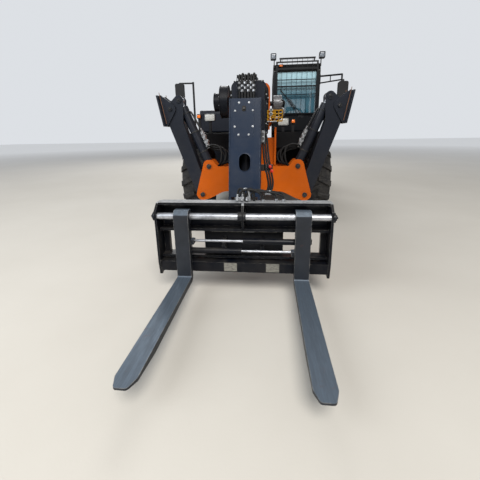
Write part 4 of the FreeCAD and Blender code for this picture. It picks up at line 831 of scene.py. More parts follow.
def stitches(name, surface, plane, across, direction, offset):
    """Short threads that lie on the cloth along both sides of a channel."""
    point, normal = plane
    work = bmesh.new()
    half = across.length
    along = across.normalized()
    lift = direction * STITCH_SINK
    for side in (-1, 1):
        spots = []
        for step in range(int(2 * half / STITCH)):
            start = point + along * (step * STITCH - half) + normal * side * offset
            spot = surface.ray_cast(start - direction * STITCH_START, direction)[0]
            if spot:
                spots.append(spot)
        for start, end in zip(spots[0::2], spots[1::2]):
            if (start - end).length < 1.5 * STITCH:
                add_round(work, start - lift, end - lift, STITCH_RADIUS, segments=5)
    from_bmesh(name, work, "chassis", THREAD)


# %% [markdown]
# The pads follow the outlines of the CAD seat, a little inside them: the cushion and backrest
# with their bolsters, the headrest and the two armrests. Under them stand the suspension's
# bellows between two plates, and behind them the shell.

# %% Seat pads
CUSHION_ROWS = ((1.195, 1.194), (1.672, 1.194), (1.672, 1.268), (1.205, 1.276))
BACK_ROWS = ((1.622, 1.300), (1.700, 1.300), (1.758, 1.836), (1.702, 1.842))
HEAD_ROWS = ((1.720, 1.886), (1.768, 1.886), (1.780, 1.972), (1.728, 1.976))
FLANK_ROWS = ((1.205, 1.250), (1.625, 1.245), (1.622, 1.312), (1.228, 1.314))
WING_ROWS = ((1.590, 1.350), (1.640, 1.320), (1.688, 1.780), (1.662, 1.772))
ARM_ROWS = ((1.412, 1.507), (1.672, 1.507), (1.680, 1.543), (1.412, 1.543))
DOWN, BACKWARD = Vector((0, 0, -1)), Vector((0, 0.993, -0.118))
AHEAD, UP_BACK = Vector((0, 1, 0)), Vector((0, 0.118, 0.993))  # how seams follow each other
CHANNEL_DEPTH, CHANNEL_WIDTH, STITCH_OFFSET = 0.012, 0.010, 0.009
PADS = (  # name, rows, low x, high x, cap of swelling, fill
    ("seat_cushion", CUSHION_ROWS, -0.170, 0.170, 0.022, 0.7),
    ("seat_back", BACK_ROWS, -0.165, 0.165, 0.022, 0.7),
    ("seat_head", HEAD_ROWS, -0.116, 0.116, 0.014, 0.8),
    ("seat_flank_left", FLANK_ROWS, 0.186, 0.230, 0.010, 0.8),
    ("seat_flank_right", FLANK_ROWS, -0.230, -0.186, 0.010, 0.8),
    ("seat_wing_left", WING_ROWS, 0.182, 0.222, 0.008, 0.8),
    ("seat_wing_right", WING_ROWS, -0.222, -0.182, 0.008, 0.8),
    ("seat_arm_left", ARM_ROWS, 0.226, 0.264, 0.006, 0.9),
    ("seat_arm_right", ARM_ROWS, -0.264, -0.226, 0.006, 0.9),
)
CHANNELS = {  # pad: the way its cloth is pressed, the way its seams follow each other, places
    "seat_cushion": (DOWN, AHEAD, [(y, 1.285) for y in (1.290, 1.395, 1.500, 1.605)]),
    "seat_back": (BACKWARD, UP_BACK,
                  [(1.600 + 0.142 * (z - 1.3), z) for z in (1.40, 1.51, 1.62, 1.73)]),
    "seat_head": (BACKWARD, UP_BACK, [(1.700, 1.930)]),
}
SHELL_ROWS = ((1.640, 1.262), (1.702, 1.262), (1.718, 1.310), (1.783, 1.800), (1.762, 1.842),
              (1.740, 1.820), (1.690, 1.330))
FOLDS, FOLD_LOW, FOLD_RISE, FOLD_OUT = 7, 0.866, 0.040, 0.014


def make_seat_pads():
    for name, rows, low, high, reach, fill in PADS:
        mesh = block_mesh(name, rows, SEAT_X + low, SEAT_X + high)
        piece = blown_up(name, mesh, reach)
        piece.data.materials.clear()
        piece.data.materials.append(CLOTH)
        direction, follow, places = CHANNELS.get(name, (DOWN, BACKWARD, []))
        planes = [(place(SEAT_X, y, z), follow) for y, z in places]
        for plane in planes:
            press(piece.data, plane, direction, CHANNEL_DEPTH, CHANNEL_WIDTH)
        shade_smooth(piece.data)
        smooth = piece.modifiers.new("smooth", "SUBSURF")
        smooth.levels = smooth.render_levels = 1 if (reach > 0.012) else 0
        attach(piece, "chassis")
        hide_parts("seat")
        surface = BVHTree.FromPolygons([vertex.co for vertex in piece.data.vertices],
                                       [tuple(face.vertices) for face in piece.data.polygons])
        across = Vector(((high - low) / 2 * 0.92, 0, 0))
        for number, plane in enumerate(planes):
            stitches(f"{name}_stitches_{number}", surface, plane, across, direction,
                     STITCH_OFFSET)


def make_seat_shell():
    """Suspension box with bellows, the shell behind the backrest, posts, arm brackets, belt."""
    bellows = bmesh.new()
    top = facing("z", 0.0, 1)
    for number in range(FOLDS):
        z = FOLD_LOW + FOLD_RISE * number
        grow = 0.0 if number % 2 else FOLD_OUT
        add_rounded(bellows, top, (SEAT_X - 0.170 - grow, SEAT_X + 0.170 + grow),
                    (1.315 - grow, 1.630 + grow), 0.030, z, z + 0.042)
    from_bmesh("seat_bellows", bellows, "chassis", DARK, 0.008)
    plates = bmesh.new()
    for z0, z1 in ((0.840, 0.868), (1.148, 1.180)):
        add_rounded(plates, top, (SEAT_X - 0.186, SEAT_X + 0.186), (1.300, 1.642), 0.016, z0, z1)
    for sign in (-1, 1):
        rail, post, arm = (SEAT_X + sign * x for x in (0.150, 0.060, 0.232))
        add_box(plates, place(rail - 0.012, 1.200, 1.170), place(rail + 0.012, 1.660, 1.190))
        add_round(plates, place(post, 1.732, 1.830), place(post, 1.745, 1.900), 0.007)
        add_round(plates, place(arm, 1.668, 1.525), place(arm + sign * 0.030, 1.668, 1.525),
                  0.020)
    from_bmesh("seat_rails", plates, "chassis", BOLT, 0.003)
    shell = bmesh.new()
    add_prism(shell, facing("x", SEAT_X, 1), SHELL_ROWS, -0.205, 0.205)
    from_bmesh("seat_shell", shell, "chassis", PLASTIC, 0.010)
    buckle = bmesh.new()
    add_box(buckle, place(SEAT_X - 0.240, 1.560, 1.270), place(SEAT_X - 0.226, 1.592, 1.345))
    add_rounded(buckle, facing("z", 0.0, 1), (SEAT_X - 0.2395, SEAT_X - 0.2235), (1.556, 1.598),
                0.006, 1.340, 1.372)
    from_bmesh("belt_buckle", buckle, "chassis", RED_CAP, 0.002)


make_seat_pads()
make_seat_shell()

# %% [markdown]
# ## Tyres
# One tyre is turned from a rounded profile, and gets two staggered rows of slanted lugs whose
# sides slope and whose edges are rounded. Four copies stand for the CAD tyres.

# %% Tyres
LUGS_PER_ROW = 16
TYRE_PROFILE = (  # across from the tyre's middle, radius
    (-0.150, 0.322), (-0.168, 0.336), (-0.176, 0.352), (-0.190, 0.400), (-0.199, 0.450),
    (-0.200, 0.500), (-0.196, 0.545), (-0.184, 0.580), (-0.160, 0.599), (-0.110, 0.606),
    (-0.050, 0.609), (0.0, 0.610), (0.050, 0.609), (0.110, 0.606), (0.160, 0.599),
    (0.184, 0.580), (0.196, 0.545), (0.200, 0.500), (0.199, 0.450), (0.190, 0.400),
    (0.176, 0.352), (0.168, 0.336), (0.150, 0.322),
)
LUG_ROWS = (  # across, turn in degrees of the lug's two sides at its top, top radius
    (0.199, -6.6, 0.4, 0.565), (0.196, -7.0, 0.6, 0.604), (0.178, -6.2, 1.2, 0.636),
    (0.135, -3.7, 2.6, 0.6455), (0.075, -1.2, 4.7, 0.648), (0.015, 1.7, 7.0, 0.6485),
    (-0.013, 3.0, 7.6, 0.648),
)
LUG_ROOT = 0.592
LUG_FLARE = 0.9  # degrees by which a lug is wider at its root
SIDE_RIBS = ((0.470, 0.2003), (0.405, 0.1925))  # radius, across
TURN_STEPS, TYRE_CREASE, TYRE_BEVEL = 96, math.radians(38), 0.004
WHEELS = [(end, side, sign, y) for end, y in (("front", 0.0), ("rear", WHEELBASE))
          for side, sign in SIDES]


def add_profile(work, rows):
    """Surface of (across, radius) rows turned about the wheel's axis."""
    rings = []
    for step in range(TURN_STEPS):
        angle = 2 * math.pi * step / TURN_STEPS
        rings.append([work.verts.new((x, r * math.sin(angle), r * math.cos(angle)))
                      for x, r in rows])
    add_strips(work, rings, loop=True)


def add_lug(work, side, turn):
    """One lug with sloping sides; side is 1 for the outer row and -1 for the inner row."""
    sections = []
    for x, first, last, top in LUG_ROWS:
        root = min(LUG_ROOT, top - 0.01)
        section = []
        for degrees, radius in ((first - LUG_FLARE, root), (first, top), (last, top),
                                (last + LUG_FLARE, root)):
            angle = math.radians(degrees) + turn
            section.append(work.verts.new((side * x, radius * math.sin(angle),
                                           radius * math.cos(angle))))
        sections.append(section)
    add_strips(work, sections)
    for end in (sections[0], sections[-1]):
        work.faces.new(end)


def tyre_mesh():
    work = bmesh.new()
    add_profile(work, TYRE_PROFILE)
    for number in range(LUGS_PER_ROW):
        turn = 2 * math.pi * number / LUGS_PER_ROW
        add_lug(work, 1, turn)
        add_lug(work, -1, turn + math.pi / LUGS_PER_ROW)
    for radius, x in SIDE_RIBS:
        for side in (1, -1):
            add_profile(work, [(side * (x - 0.004), radius - 0.012), (side * (x + 0.001), radius),
                               (side * (x - 0.004), radius + 0.012)])
    mesh = mesh_from("tyre_tread", work)
    mesh.materials.append(RUBBER)
    shade_smooth(mesh, TYRE_CREASE)
    return mesh


def make_tyres():
    mesh = tyre_mesh()
    for end, side, sign, y in WHEELS:
        data = mesh.copy()
        flip = Matrix.Diagonal((sign, 1, 1, 1))
        data.transform(Matrix.Translation(place(sign * TRACK_HALF, y, AXLE_Z)) @ flip)
        if sign < 0:
            data.flip_normals()
        tyre = linked(f"tread_{end}_{side}", data)
        round_edges(tyre, TYRE_BEVEL, TYRE_CREASE)
        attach(tyre, f"wheel_{end}_{side}")
        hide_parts(f"tyre_{end}_{side}")


make_tyres()

# %% [markdown]
# ## Wheel bolts
# Ten nuts hold each rim to its hub, and a ring of small screws closes the hub's cap.

# %% Wheel bolts
BOLT_RINGS = ((10, 0.185, 0.046, 0.017), (12, 0.118, 0.096, 0.008))  # count, ring, out, size
HUB_END = 0.128


def make_wheel_bolts():
    for end, side, sign, y in WHEELS:
        work = bmesh.new()
        for count, ring, out, size in BOLT_RINGS:
            for number in range(count):
                angle = 2 * math.pi * number / count
                at = place(sign * (TRACK_HALF + out), y + ring * math.sin(angle),
                           AXLE_Z + ring * math.cos(angle))
                add_bolt(work, at, (sign, 0, 0), size)
        cap = place(sign * (TRACK_HALF + HUB_END), y, AXLE_Z)
        add_round(work, cap, cap + Vector((sign * 0.012, 0, 0)), 0.03, 0.024)
        from_bmesh(f"wheel_bolts_{end}_{side}", work, f"wheel_{end}_{side}", ZINC, 0.001)


make_wheel_bolts()

# %% [markdown]
# ## Boom and drop head
# Round-headed bolts hold the cover on the head's face, and wear pads guide the sections. Six
# hoses arch over the head's top, and three run down beside it with a thin spiral guard.

# %% Boom and head fittings
HEAD_TOP, HEAD_FOOT = (-2.419, 1.707), (-2.624, 0.832)
FACE_BOLTS = (  # x, z
    (-0.053, 1.668), (0.038, 1.668), (-0.090, 1.598), (0.072, 1.598), (-0.092, 1.458),
    (0.072, 1.458), (-0.057, 1.387), (0.036, 1.387),
)
FACE_AHEAD = Vector((0, -0.9736, 0.2281))
NOSE_Y = -1.560
OVER_Y = -2.043  # where the hoses run down before the head


def face_point(x, z, proud=0.0):
    """Point on the head's leaning face plate."""
    share = (HEAD_TOP[1] - z) / (HEAD_TOP[1] - HEAD_FOOT[1])
    y = HEAD_TOP[0] + (HEAD_FOOT[0] - HEAD_TOP[0]) * share
    return place(x, y, z) + FACE_AHEAD * proud


def make_face_plate():
    cover = bmesh.new()
    add_rounded(cover, face_point, (-0.104, 0.084), (1.366, 1.694),
                0.03, -0.001, 0.0022)
    from_bmesh("face_cover", cover, "boom_inner", SLATE, 0.001)
    work = bmesh.new()
    for x, z in FACE_BOLTS:
        at = face_point(x, z, 0.002)
        add_round(work, at, at + FACE_AHEAD * 0.002, 0.0095, segments=24)
        add_round(work, at + FACE_AHEAD * 0.002, at + FACE_AHEAD * 0.008, 0.0062, 0.005, 16)
    from_bmesh("face_bolts", work, "boom_inner", ZINC, 0.0006)
    # A dark pad around the key stands for the shade inside the notch: painted shade.
    notch = bmesh.new()
    add_rounded(notch, face_point, (-0.026, 0.008), (1.592, 1.640),
                0.012, 0.001, 0.005)
    from_bmesh("face_notch_shade", notch, "boom_inner", DARK, 0.001)
    eye = bmesh.new()
    add_rounded(eye, face_point, (-0.020, 0.002), (1.606, 1.626),
                0.008, 0.004, 0.014)
    from_bmesh("face_key", eye, "boom_inner", BOLT, 0.001)
    work = bmesh.new()
    middle, end, half = 1.1405, 1.167, 0.052
    turns = [math.pi * number / 12 for number in range(13)]
    rim = [(half * math.cos(turn), end + half * math.sin(turn)) for turn in turns]
    rim += [(-x, 2 * middle - z) for x, z in rim]
    inner = [work.verts.new(face_point(x, z, 0.003)) for x, z in rim]
    outer = [work.verts.new(face_point(x * 1.22, middle + (z - middle) * 1.11, 0.0005))
             for x, z in rim]
    add_strips(work, [inner, outer], ring=True)
    from_bmesh("window_weld", work, "boom_inner", SLATE)
    seams = bmesh.new()
    for x in (-0.140, 0.140):
        add_round(seams, face_point(x, 1.70, 0.0), face_point(x, 0.84, 0.0), 0.005, segments=8)
    from_bmesh("face_seams", seams, "boom_inner", SLATE)


def make_wear_pads():
    """Dark guide pads in the mouths of the outer and middle sections; top and bottom pads have two
    bolts, side pads one.
    """
    for body, y, width, height in (("boom_outer", -1.562, 0.410, 0.590),
                                   ("boom_mid", -1.878, 0.374, 0.554)):
        work = bmesh.new()
        heads = bmesh.new()
        for across, up in ((-0.62, 1), (0.62, 1), (-0.62, -1), (0.62, -1)):
            x, z = across * width / 2, 1.66 + up * (height / 2 - 0.003)
            add_box(work, place(x - 0.045, y - 0.012, z - 0.009),
                    place(x + 0.045, y + 0.004, z + 0.009))
            for shift in (-0.024, 0.024):
                add_bolt(heads, place(x + shift, y - 0.011, z), (0, -1, 0), 0.006)
        for side in (-1, 1):
            for z in (1.50, 1.80):
                x = side * (width / 2 + 0.002)
                add_box(work, place(x - 0.010, y - 0.012, z - 0.05),
                        place(x + 0.008, y + 0.004, z + 0.05))
                add_bolt(heads, place(x, y - 0.011, z), (0, -1, 0), 0.006)
        from_bmesh(f"wear_pads_{body}", work, body, DARK, 0.003)
        from_bmesh(f"pad_bolts_{body}", heads, body, ZINC, 0.0006)


def make_boom_top():
    """Hoses that run back along the boom's top, held by clamps, and the bolts of the nose."""
    for number, x in enumerate((-0.09, -0.055, 0.03, 0.065)):
        hose(f"boom_top_hose_{number}", [
            place(x, -1.49, 1.978), place(x, -1.40, 1.977), place(x * 0.9, -0.9, 1.974),
            place(x, 0.2, 1.973), place(x, 1.6, 1.973), place(x, 3.0, 1.973)],
            0.012, "boom_outer")
    clamps = bmesh.new()
    for y in (-1.3, -0.7, 0.1, 0.9, 1.7, 2.5):
        add_box(clamps, place(-0.115, y - 0.02, 1.954), place(0.09, y + 0.02, 1.992))
        for x in (-0.105, 0.08):
            add_bolt(clamps, place(x, y, 1.992), (0, 0, 1), 0.006)
    from_bmesh("boom_hose_clamps", clamps, "boom_outer", BOLT, 0.002)
    heads = [(x, NOSE_Y, z) for x, z in (
        (0.19, 1.845), (0.19, 1.800), (0.19, 1.740), (-0.19, 1.845), (-0.19, 1.74),
        (-0.19, 1.48), (0.19, 1.48))]
    bolts("nose_bolts", heads, (0, -1, 0), 0.008, "boom_outer", 0.0008)


OVER_HOSES = (-0.092, -0.060, -0.028, 0.006, 0.038, 0.066)  # x of each hose over the head


def make_over_hoses():
    """Bundle of hoses that arches over the head's top, with its carrier, clamps and fittings."""
    arm = bmesh.new()
    rows = ((-2.075, 1.737), (-2.075, 1.905), (-2.025, 1.972), (-1.670, 1.972), (-1.610, 1.998),
            (-1.490, 1.998), (-1.490, 1.984), (-1.605, 1.984), (-1.665, 1.957), (-2.018, 1.957),
            (-2.060, 1.898), (-2.060, 1.737))
    for x in (-0.112, 0.084):
        add_prism(arm, facing("x", 0.0, 1), rows, x, x + 0.006)
    add_box(arm, place(-0.112, -2.075, 1.735), place(0.090, -2.01, 1.745))
    from_bmesh("hose_carrier", arm, "boom_inner", NOSE_BLACK, 0.0015)
    fittings, sleeves = bmesh.new(), bmesh.new()
    for number, x in enumerate(OVER_HOSES):
        lift, near = 0.012 * (number % 2), x * 0.94
        hose(f"over_hose_{number}", [
            place(x, -1.50, 2.022), place(x, -1.62, 2.016 + lift), place(x, -1.76, 1.996 + lift),
            place(near, -1.90, 1.988 + lift), place(near, -2.01, 1.980 + lift),
            place(near, OVER_Y, 1.925), place(near, OVER_Y, 1.860), place(near, OVER_Y, 1.810),
            place(near, -2.048, 1.775), place(near, -2.050, 1.745)], 0.0125, "boom_inner")
        for work, z0, z1, radius, sides in (
                (fittings, 1.906, 1.886, 0.0155, 6), (sleeves, 1.884, 1.862, 0.0145, 24),
                (fittings, 1.860, 1.838, 0.0155, 6), (sleeves, 1.836, 1.818, 0.0140, 24)):
            drop = 2.2 * lift
            add_round(work, place(near, OVER_Y, z0 - drop), place(near, OVER_Y, z1 - drop),
                      radius, segments=sides)
        add_round(fittings, place(x, -1.492, 2.022), place(x, -1.528, 2.023), 0.0165, segments=6)
    from_bmesh("over_fittings", fittings, "boom_inner", ZINC, 0.0012)
    from_bmesh("over_sleeves", sleeves, "boom_inner", BOLT, 0.0012)
    bars = bmesh.new()
    for y, z in ((-1.58, 1.998), (-1.80, 1.972), (-1.97, 1.972)):
        add_box(bars, place(-0.118, y - 0.012, z), place(0.092, y + 0.012, z + 0.012))
    from_bmesh("over_clamps", bars, "boom_inner", BOLT, 0.003)
    screws = [(x, y, z) for y, z in ((-1.58, 2.010), (-1.80, 1.984))
              for x in (-0.112, -0.011, 0.086)]
    bolts("over_screws", screws, (0, 0, 1), 0.006, "boom_inner", 0.0006)


def make_head_hoses():
    """Valve, couplings and black hoses beside the drop head, with a thin spiral guard."""
    routes = (0.0, 0.024, 0.048)
    for number, shift in enumerate(routes):
        hose(f"head_hose_{number}", [
            place(0.160 + shift * 0.4, -2.145, 1.42), place(0.162 + shift * 0.8, -2.150, 1.36),
            place(0.162 + shift, -2.175, 1.27), place(0.172 + shift, -2.235, 1.152),
            place(0.190 + shift, -2.31, 1.061), place(0.218 + shift, -2.42, 0.958),
            place(0.226 + shift * 0.8, -2.50, 0.90), place(0.200 + shift * 0.7, -2.56, 0.852)],
            0.0098, "boom_inner")
    guard = []
    turns, per_turn = 16, 10
    for step in range(turns * per_turn):
        share = step / (turns * per_turn - 1)
        angle = 2 * math.pi * step / per_turn
        guard.append(place(0.182 + 0.028 * share + 0.024 * math.cos(angle),
                           -2.14 - 0.20 * share + 0.018 * math.sin(angle),
                           1.225 - 0.20 * share + 0.010 * math.sin(angle)))
    hose("head_hose_guard", guard, 0.0020, "boom_inner", ZINC)
    work = bmesh.new()
    for shift in routes:
        at = place(0.200 + shift * 0.7, -2.558, 0.852)
        add_round(work, at + Vector((0, 0.010, 0.028)), at + Vector((0, -0.002, -0.012)), 0.0145,
                  segments=6)
    from_bmesh("head_hose_nuts", work, "boom_inner", ZINC, 0.001)
    valve = bmesh.new()
    add_rounded(valve, facing("y", -2.17, 1), (0.144, 0.178), (1.290, 1.425), 0.008, 0.0, 0.05)
    for z, reach in ((1.402, 0.030), (1.360, 0.022), (1.316, 0.030)):
        add_round(valve, place(0.162, -2.17, z), place(0.162, -2.17 - reach, z), 0.0125, segments=6)
        add_round(valve, place(0.162, -2.17 - reach, z), place(0.162, -2.18 - reach, z), 0.008)
        add_round(valve, place(0.178, -2.145, z), place(0.196, -2.145, z), 0.011, segments=6)
    from_bmesh("head_valve", valve, "boom_inner", ZINC, 0.002)
    caps = bmesh.new()
    for x, y, z in ((0.232, -2.328, 1.080), (0.250, -2.335, 1.038)):
        at = place(x, y, z)
        add_round(caps, at, at + Vector((0.004, -0.030, -0.004)), 0.0165, 0.0140)
        add_round(caps, at + Vector((0.004, -0.030, -0.004)), at + Vector((0.005, -0.038, -0.005)),
                  0.008, 0.006)
    from_bmesh("red_caps", caps, "boom_inner", RED_CAP, 0.0015)
    block = bmesh.new()
    add_rounded(block, facing("y", -2.29, 1), (0.144, 0.262), (1.030, 1.094), 0.008, 0.0, 0.030)
    from_bmesh("coupler_block", block, "boom_inner", BOLT, 0.003)
    web = bmesh.new()
    for sign in (-1, 1):
        add_rounded(web, facing("y", -2.24, 1), sorted((sign * 0.123, sign * 0.064)),
                    (0.96, 1.25), 0.01, 0.0, 0.008)
    from_bmesh("head_web", web, "boom_inner", NOSE_BLACK, 0.001)


def make_carriage_hoses():
    """Coupler and hoses that arch over the carriage's top rail and go in through its plate.

    They stay over the rail, so that the carriage can tilt back without touching the head.
    """
    nuts = bmesh.new()
    for number, (x, rise, reach) in enumerate(((0.03, 0.075, 0.26), (0.07, 0.062, 0.28),
                                               (-0.03, 0.085, 0.21))):
        depth = -2.790 - 0.012 * number
        hose(f"carriage_hose_{number}", [
            place(x, -2.785, 0.856), place(x, -2.787, 0.890), place(x + 0.015, -2.788, 0.918),
            place(x + reach * 0.30, depth, 0.858 + rise),
            place(x + reach * 0.65, depth, 0.850 + rise),
            place(x + reach * 0.92, depth, 0.895), place(x + reach, depth, 0.868),
            place(x + reach, depth, 0.836)], 0.0095, "carriage")
        end = place(x + reach, depth, 0.832)
        add_round(nuts, end, end + Vector((0, 0, 0.022)), 0.0145, segments=6)
    from_bmesh("carriage_bulkheads", nuts, "carriage", ZINC, 0.001)
    coupler = bmesh.new()
    add_rounded(coupler, facing("y", -2.800, 1), (-0.062, 0.058), (0.834, 0.868), 0.008, 0.0, 0.05)
    for x in (-0.042, -0.002, 0.038):
        add_round(coupler, place(x, -2.80, 0.852), place(x, -2.828, 0.852), 0.012, segments=6)
        add_round(coupler, place(x, -2.828, 0.852), place(x, -2.842, 0.852), 0.008)
        add_round(coupler, place(x, -2.775, 0.866), place(x, -2.775, 0.892), 0.013, segments=6)
    from_bmesh("carriage_coupler", coupler, "carriage", ZINC, 0.0015)
    for number, x in enumerate((-0.042, -0.002, 0.038)):
        hose(f"coupler_hose_{number}", [
            place(x, -2.775, 0.888), place(x, -2.776, 0.918), place(x + 0.010, -2.778, 0.938),
            place(x + 0.034, -2.785, 0.943), place(x + 0.056, -2.792, 0.922),
            place(x + 0.062, -2.795, 0.880), place(x + 0.062, -2.795, 0.836)], 0.0095, "carriage",
            ZINC if number == 1 else HOSE)


DRUM, SMALL_DRUM = (-1.2, 1.803), (-1.2, 1.770)  # y and z


def make_drums():
    """Steps, rims and bolts on the drums at the boom's flanks, and their elbows."""
    work = bmesh.new()
    for x0, x1, radius in ((-0.310, -0.300, 0.204), (-0.410, -0.400, 0.204),
                           (-0.365, -0.345, 0.178), (-0.420, -0.410, 0.128),
                           (-0.495, -0.485, 0.118), (-0.505, -0.495, 0.07)):
        add_round(work, place(x0, *DRUM), place(x1, *DRUM), radius, segments=64)
    from_bmesh("drum_rims", work, "boom_outer", REEL, 0.003)
    turns = [2 * math.pi * number / 10 for number in range(10)]
    heads = [(-0.411, DRUM[0] + 0.160 * math.sin(turn), DRUM[1] + 0.160 * math.cos(turn))
             for turn in turns]
    bolts("drum_bolts", heads, (-1, 0, 0), 0.009, "boom_outer", 0.00108)
    work = bmesh.new()
    for number in range(9):
        x = 0.279 + 0.0118 * number
        add_round(work, place(x, *SMALL_DRUM), place(x + 0.006, *SMALL_DRUM), 0.0995, segments=48)
    add_round(work, place(0.385, *SMALL_DRUM), place(0.398, *SMALL_DRUM), 0.052, segments=32)
    from_bmesh("ribbed_drum", work, "boom_outer", ZINC, 0.0012)
    for number, (y, z) in enumerate(((-1.28, 1.80), (-1.24, 1.71), (-1.15, 1.74))):
        hose(f"drum_elbow_{number}", [
            place(0.37, y, z), place(0.40, y - 0.02, z), place(0.415, y - 0.01, z - 0.03),
            place(0.405, y + 0.06, z - 0.10), place(0.36, y + 0.20, z - 0.14),
            place(0.26, y + 0.40, z - 0.10)], 0.013, "boom_outer", ZINC if number else HOSE)


def make_bracket():
    """Yellow lattice with two rings and a pipe beside the outer section's nose."""
    bracket = bmesh.new()
    for x in (0.202, 0.246, 0.290, 0.334, 0.376):
        add_box(bracket, place(x - 0.005, -1.612, 1.534), place(x + 0.005, -1.600, 1.660))
    for z in (1.537, 1.578, 1.619, 1.657):
        add_box(bracket, place(0.197, -1.612, z - 0.006), place(0.381, -1.600, z + 0.006))
    add_box(bracket, place(0.197, -1.600, 1.531), place(0.381, -1.552, 1.541))
    add_box(bracket, place(0.206, -1.600, 1.541), place(0.216, -1.560, 1.655))
    add_box(bracket, place(0.225, -1.600, 1.590), place(0.300, -1.580, 1.650))
    from_bmesh("yellow_bracket", bracket, "boom_outer", YELLOW, 0.002)
    rings, hubs = bmesh.new(), bmesh.new()
    for z in (1.663, 1.619):
        add_round(rings, place(0.243, -1.613, z), place(0.243, -1.622, z), 0.0195, segments=32)
        add_round(hubs, place(0.243, -1.622, z), place(0.243, -1.627, z), 0.011, 0.009, 20)
    from_bmesh("bracket_rings", rings, "boom_outer", LAMP_SHELL, 0.002)
    from_bmesh("bracket_hubs", hubs, "boom_outer", BOLT, 0.0015)
    pipe = bmesh.new()
    add_round(pipe, place(0.197, -1.620, 1.533), place(0.315, -1.620, 1.531), 0.006, segments=16)
    for x in (0.215, 0.295):
        add_round(pipe, place(x - 0.01, -1.620, 1.533), place(x + 0.01, -1.620, 1.533), 0.010,
                  segments=6)
    from_bmesh("bracket_pipe", pipe, "boom_outer", ZINC, 0.001)


def make_nose_rim():
    """Orange flange along the edge of the outer section's mouth."""
    inner = [(0.050, 1.958)]
    for step in range(9):
        angle = math.radians(90 - 90 * step / 8)
        inner.append((0.125 + 0.084 * math.cos(angle), 1.874 + 0.084 * math.sin(angle)))
    inner += [(0.209, 1.70), (0.209, 1.44)]
    outer = [(u + (0.022 if v < 1.95 else 0.0), v + (0.018 if v > 1.88 else 0.0))
             for u, v in inner]
    work = bmesh.new()
    rows = [[work.verts.new(place(u, y, v)) for u, v in line]
            for line, y in ((inner, NOSE_Y), (outer, NOSE_Y), (outer, -1.535), (inner, -1.535))]
    add_strips(work, rows, loop=True)
    for number in (0, -1):
        work.faces.new([row[number] for row in rows])
    from_bmesh("nose_rim", work, "boom_outer", ORANGE, 0.002)


make_face_plate()
make_wear_pads()
make_boom_top()
make_over_hoses()
make_head_hoses()
make_carriage_hoses()
make_drums()
make_bracket()
make_nose_rim()

# %% [markdown]
# ## Stabilizers
# Each cylinder carries a valve block with pipes and looped hoses, and each pin ends in a cap
# with a bolt.

# %% Stabilizer fittings
STAB_Y = -1.026
LEG_PIVOT, RAM_BASE, RAM_TOP = (0.734, 0.549), (0.626, 0.956), (1.015, 1.855)
FOOT_PIN = (1.136, 1.739)
RAM_LOOPS = (  # shift along y, bulge towards the middle and drop of each hose
    (-0.040, 0.30, 0.00), (-0.014, 0.36, 0.02), (0.014, 0.40, 0.05), (0.040, 0.33, 0.08),
)


def ram_point(share, out=0.0, y=0.0):
    """Point along the stabilizer's cylinder, from its base pin, and out from its axis."""
    along = Vector((RAM_TOP[0] - RAM_BASE[0], 0, RAM_TOP[1] - RAM_BASE[1]))
    aside = Vector((-along.z, 0, along.x)).normalized()
    return place(RAM_BASE[0], STAB_Y, RAM_BASE[1]) + along * share + aside * out + Vector((0, y, 0))


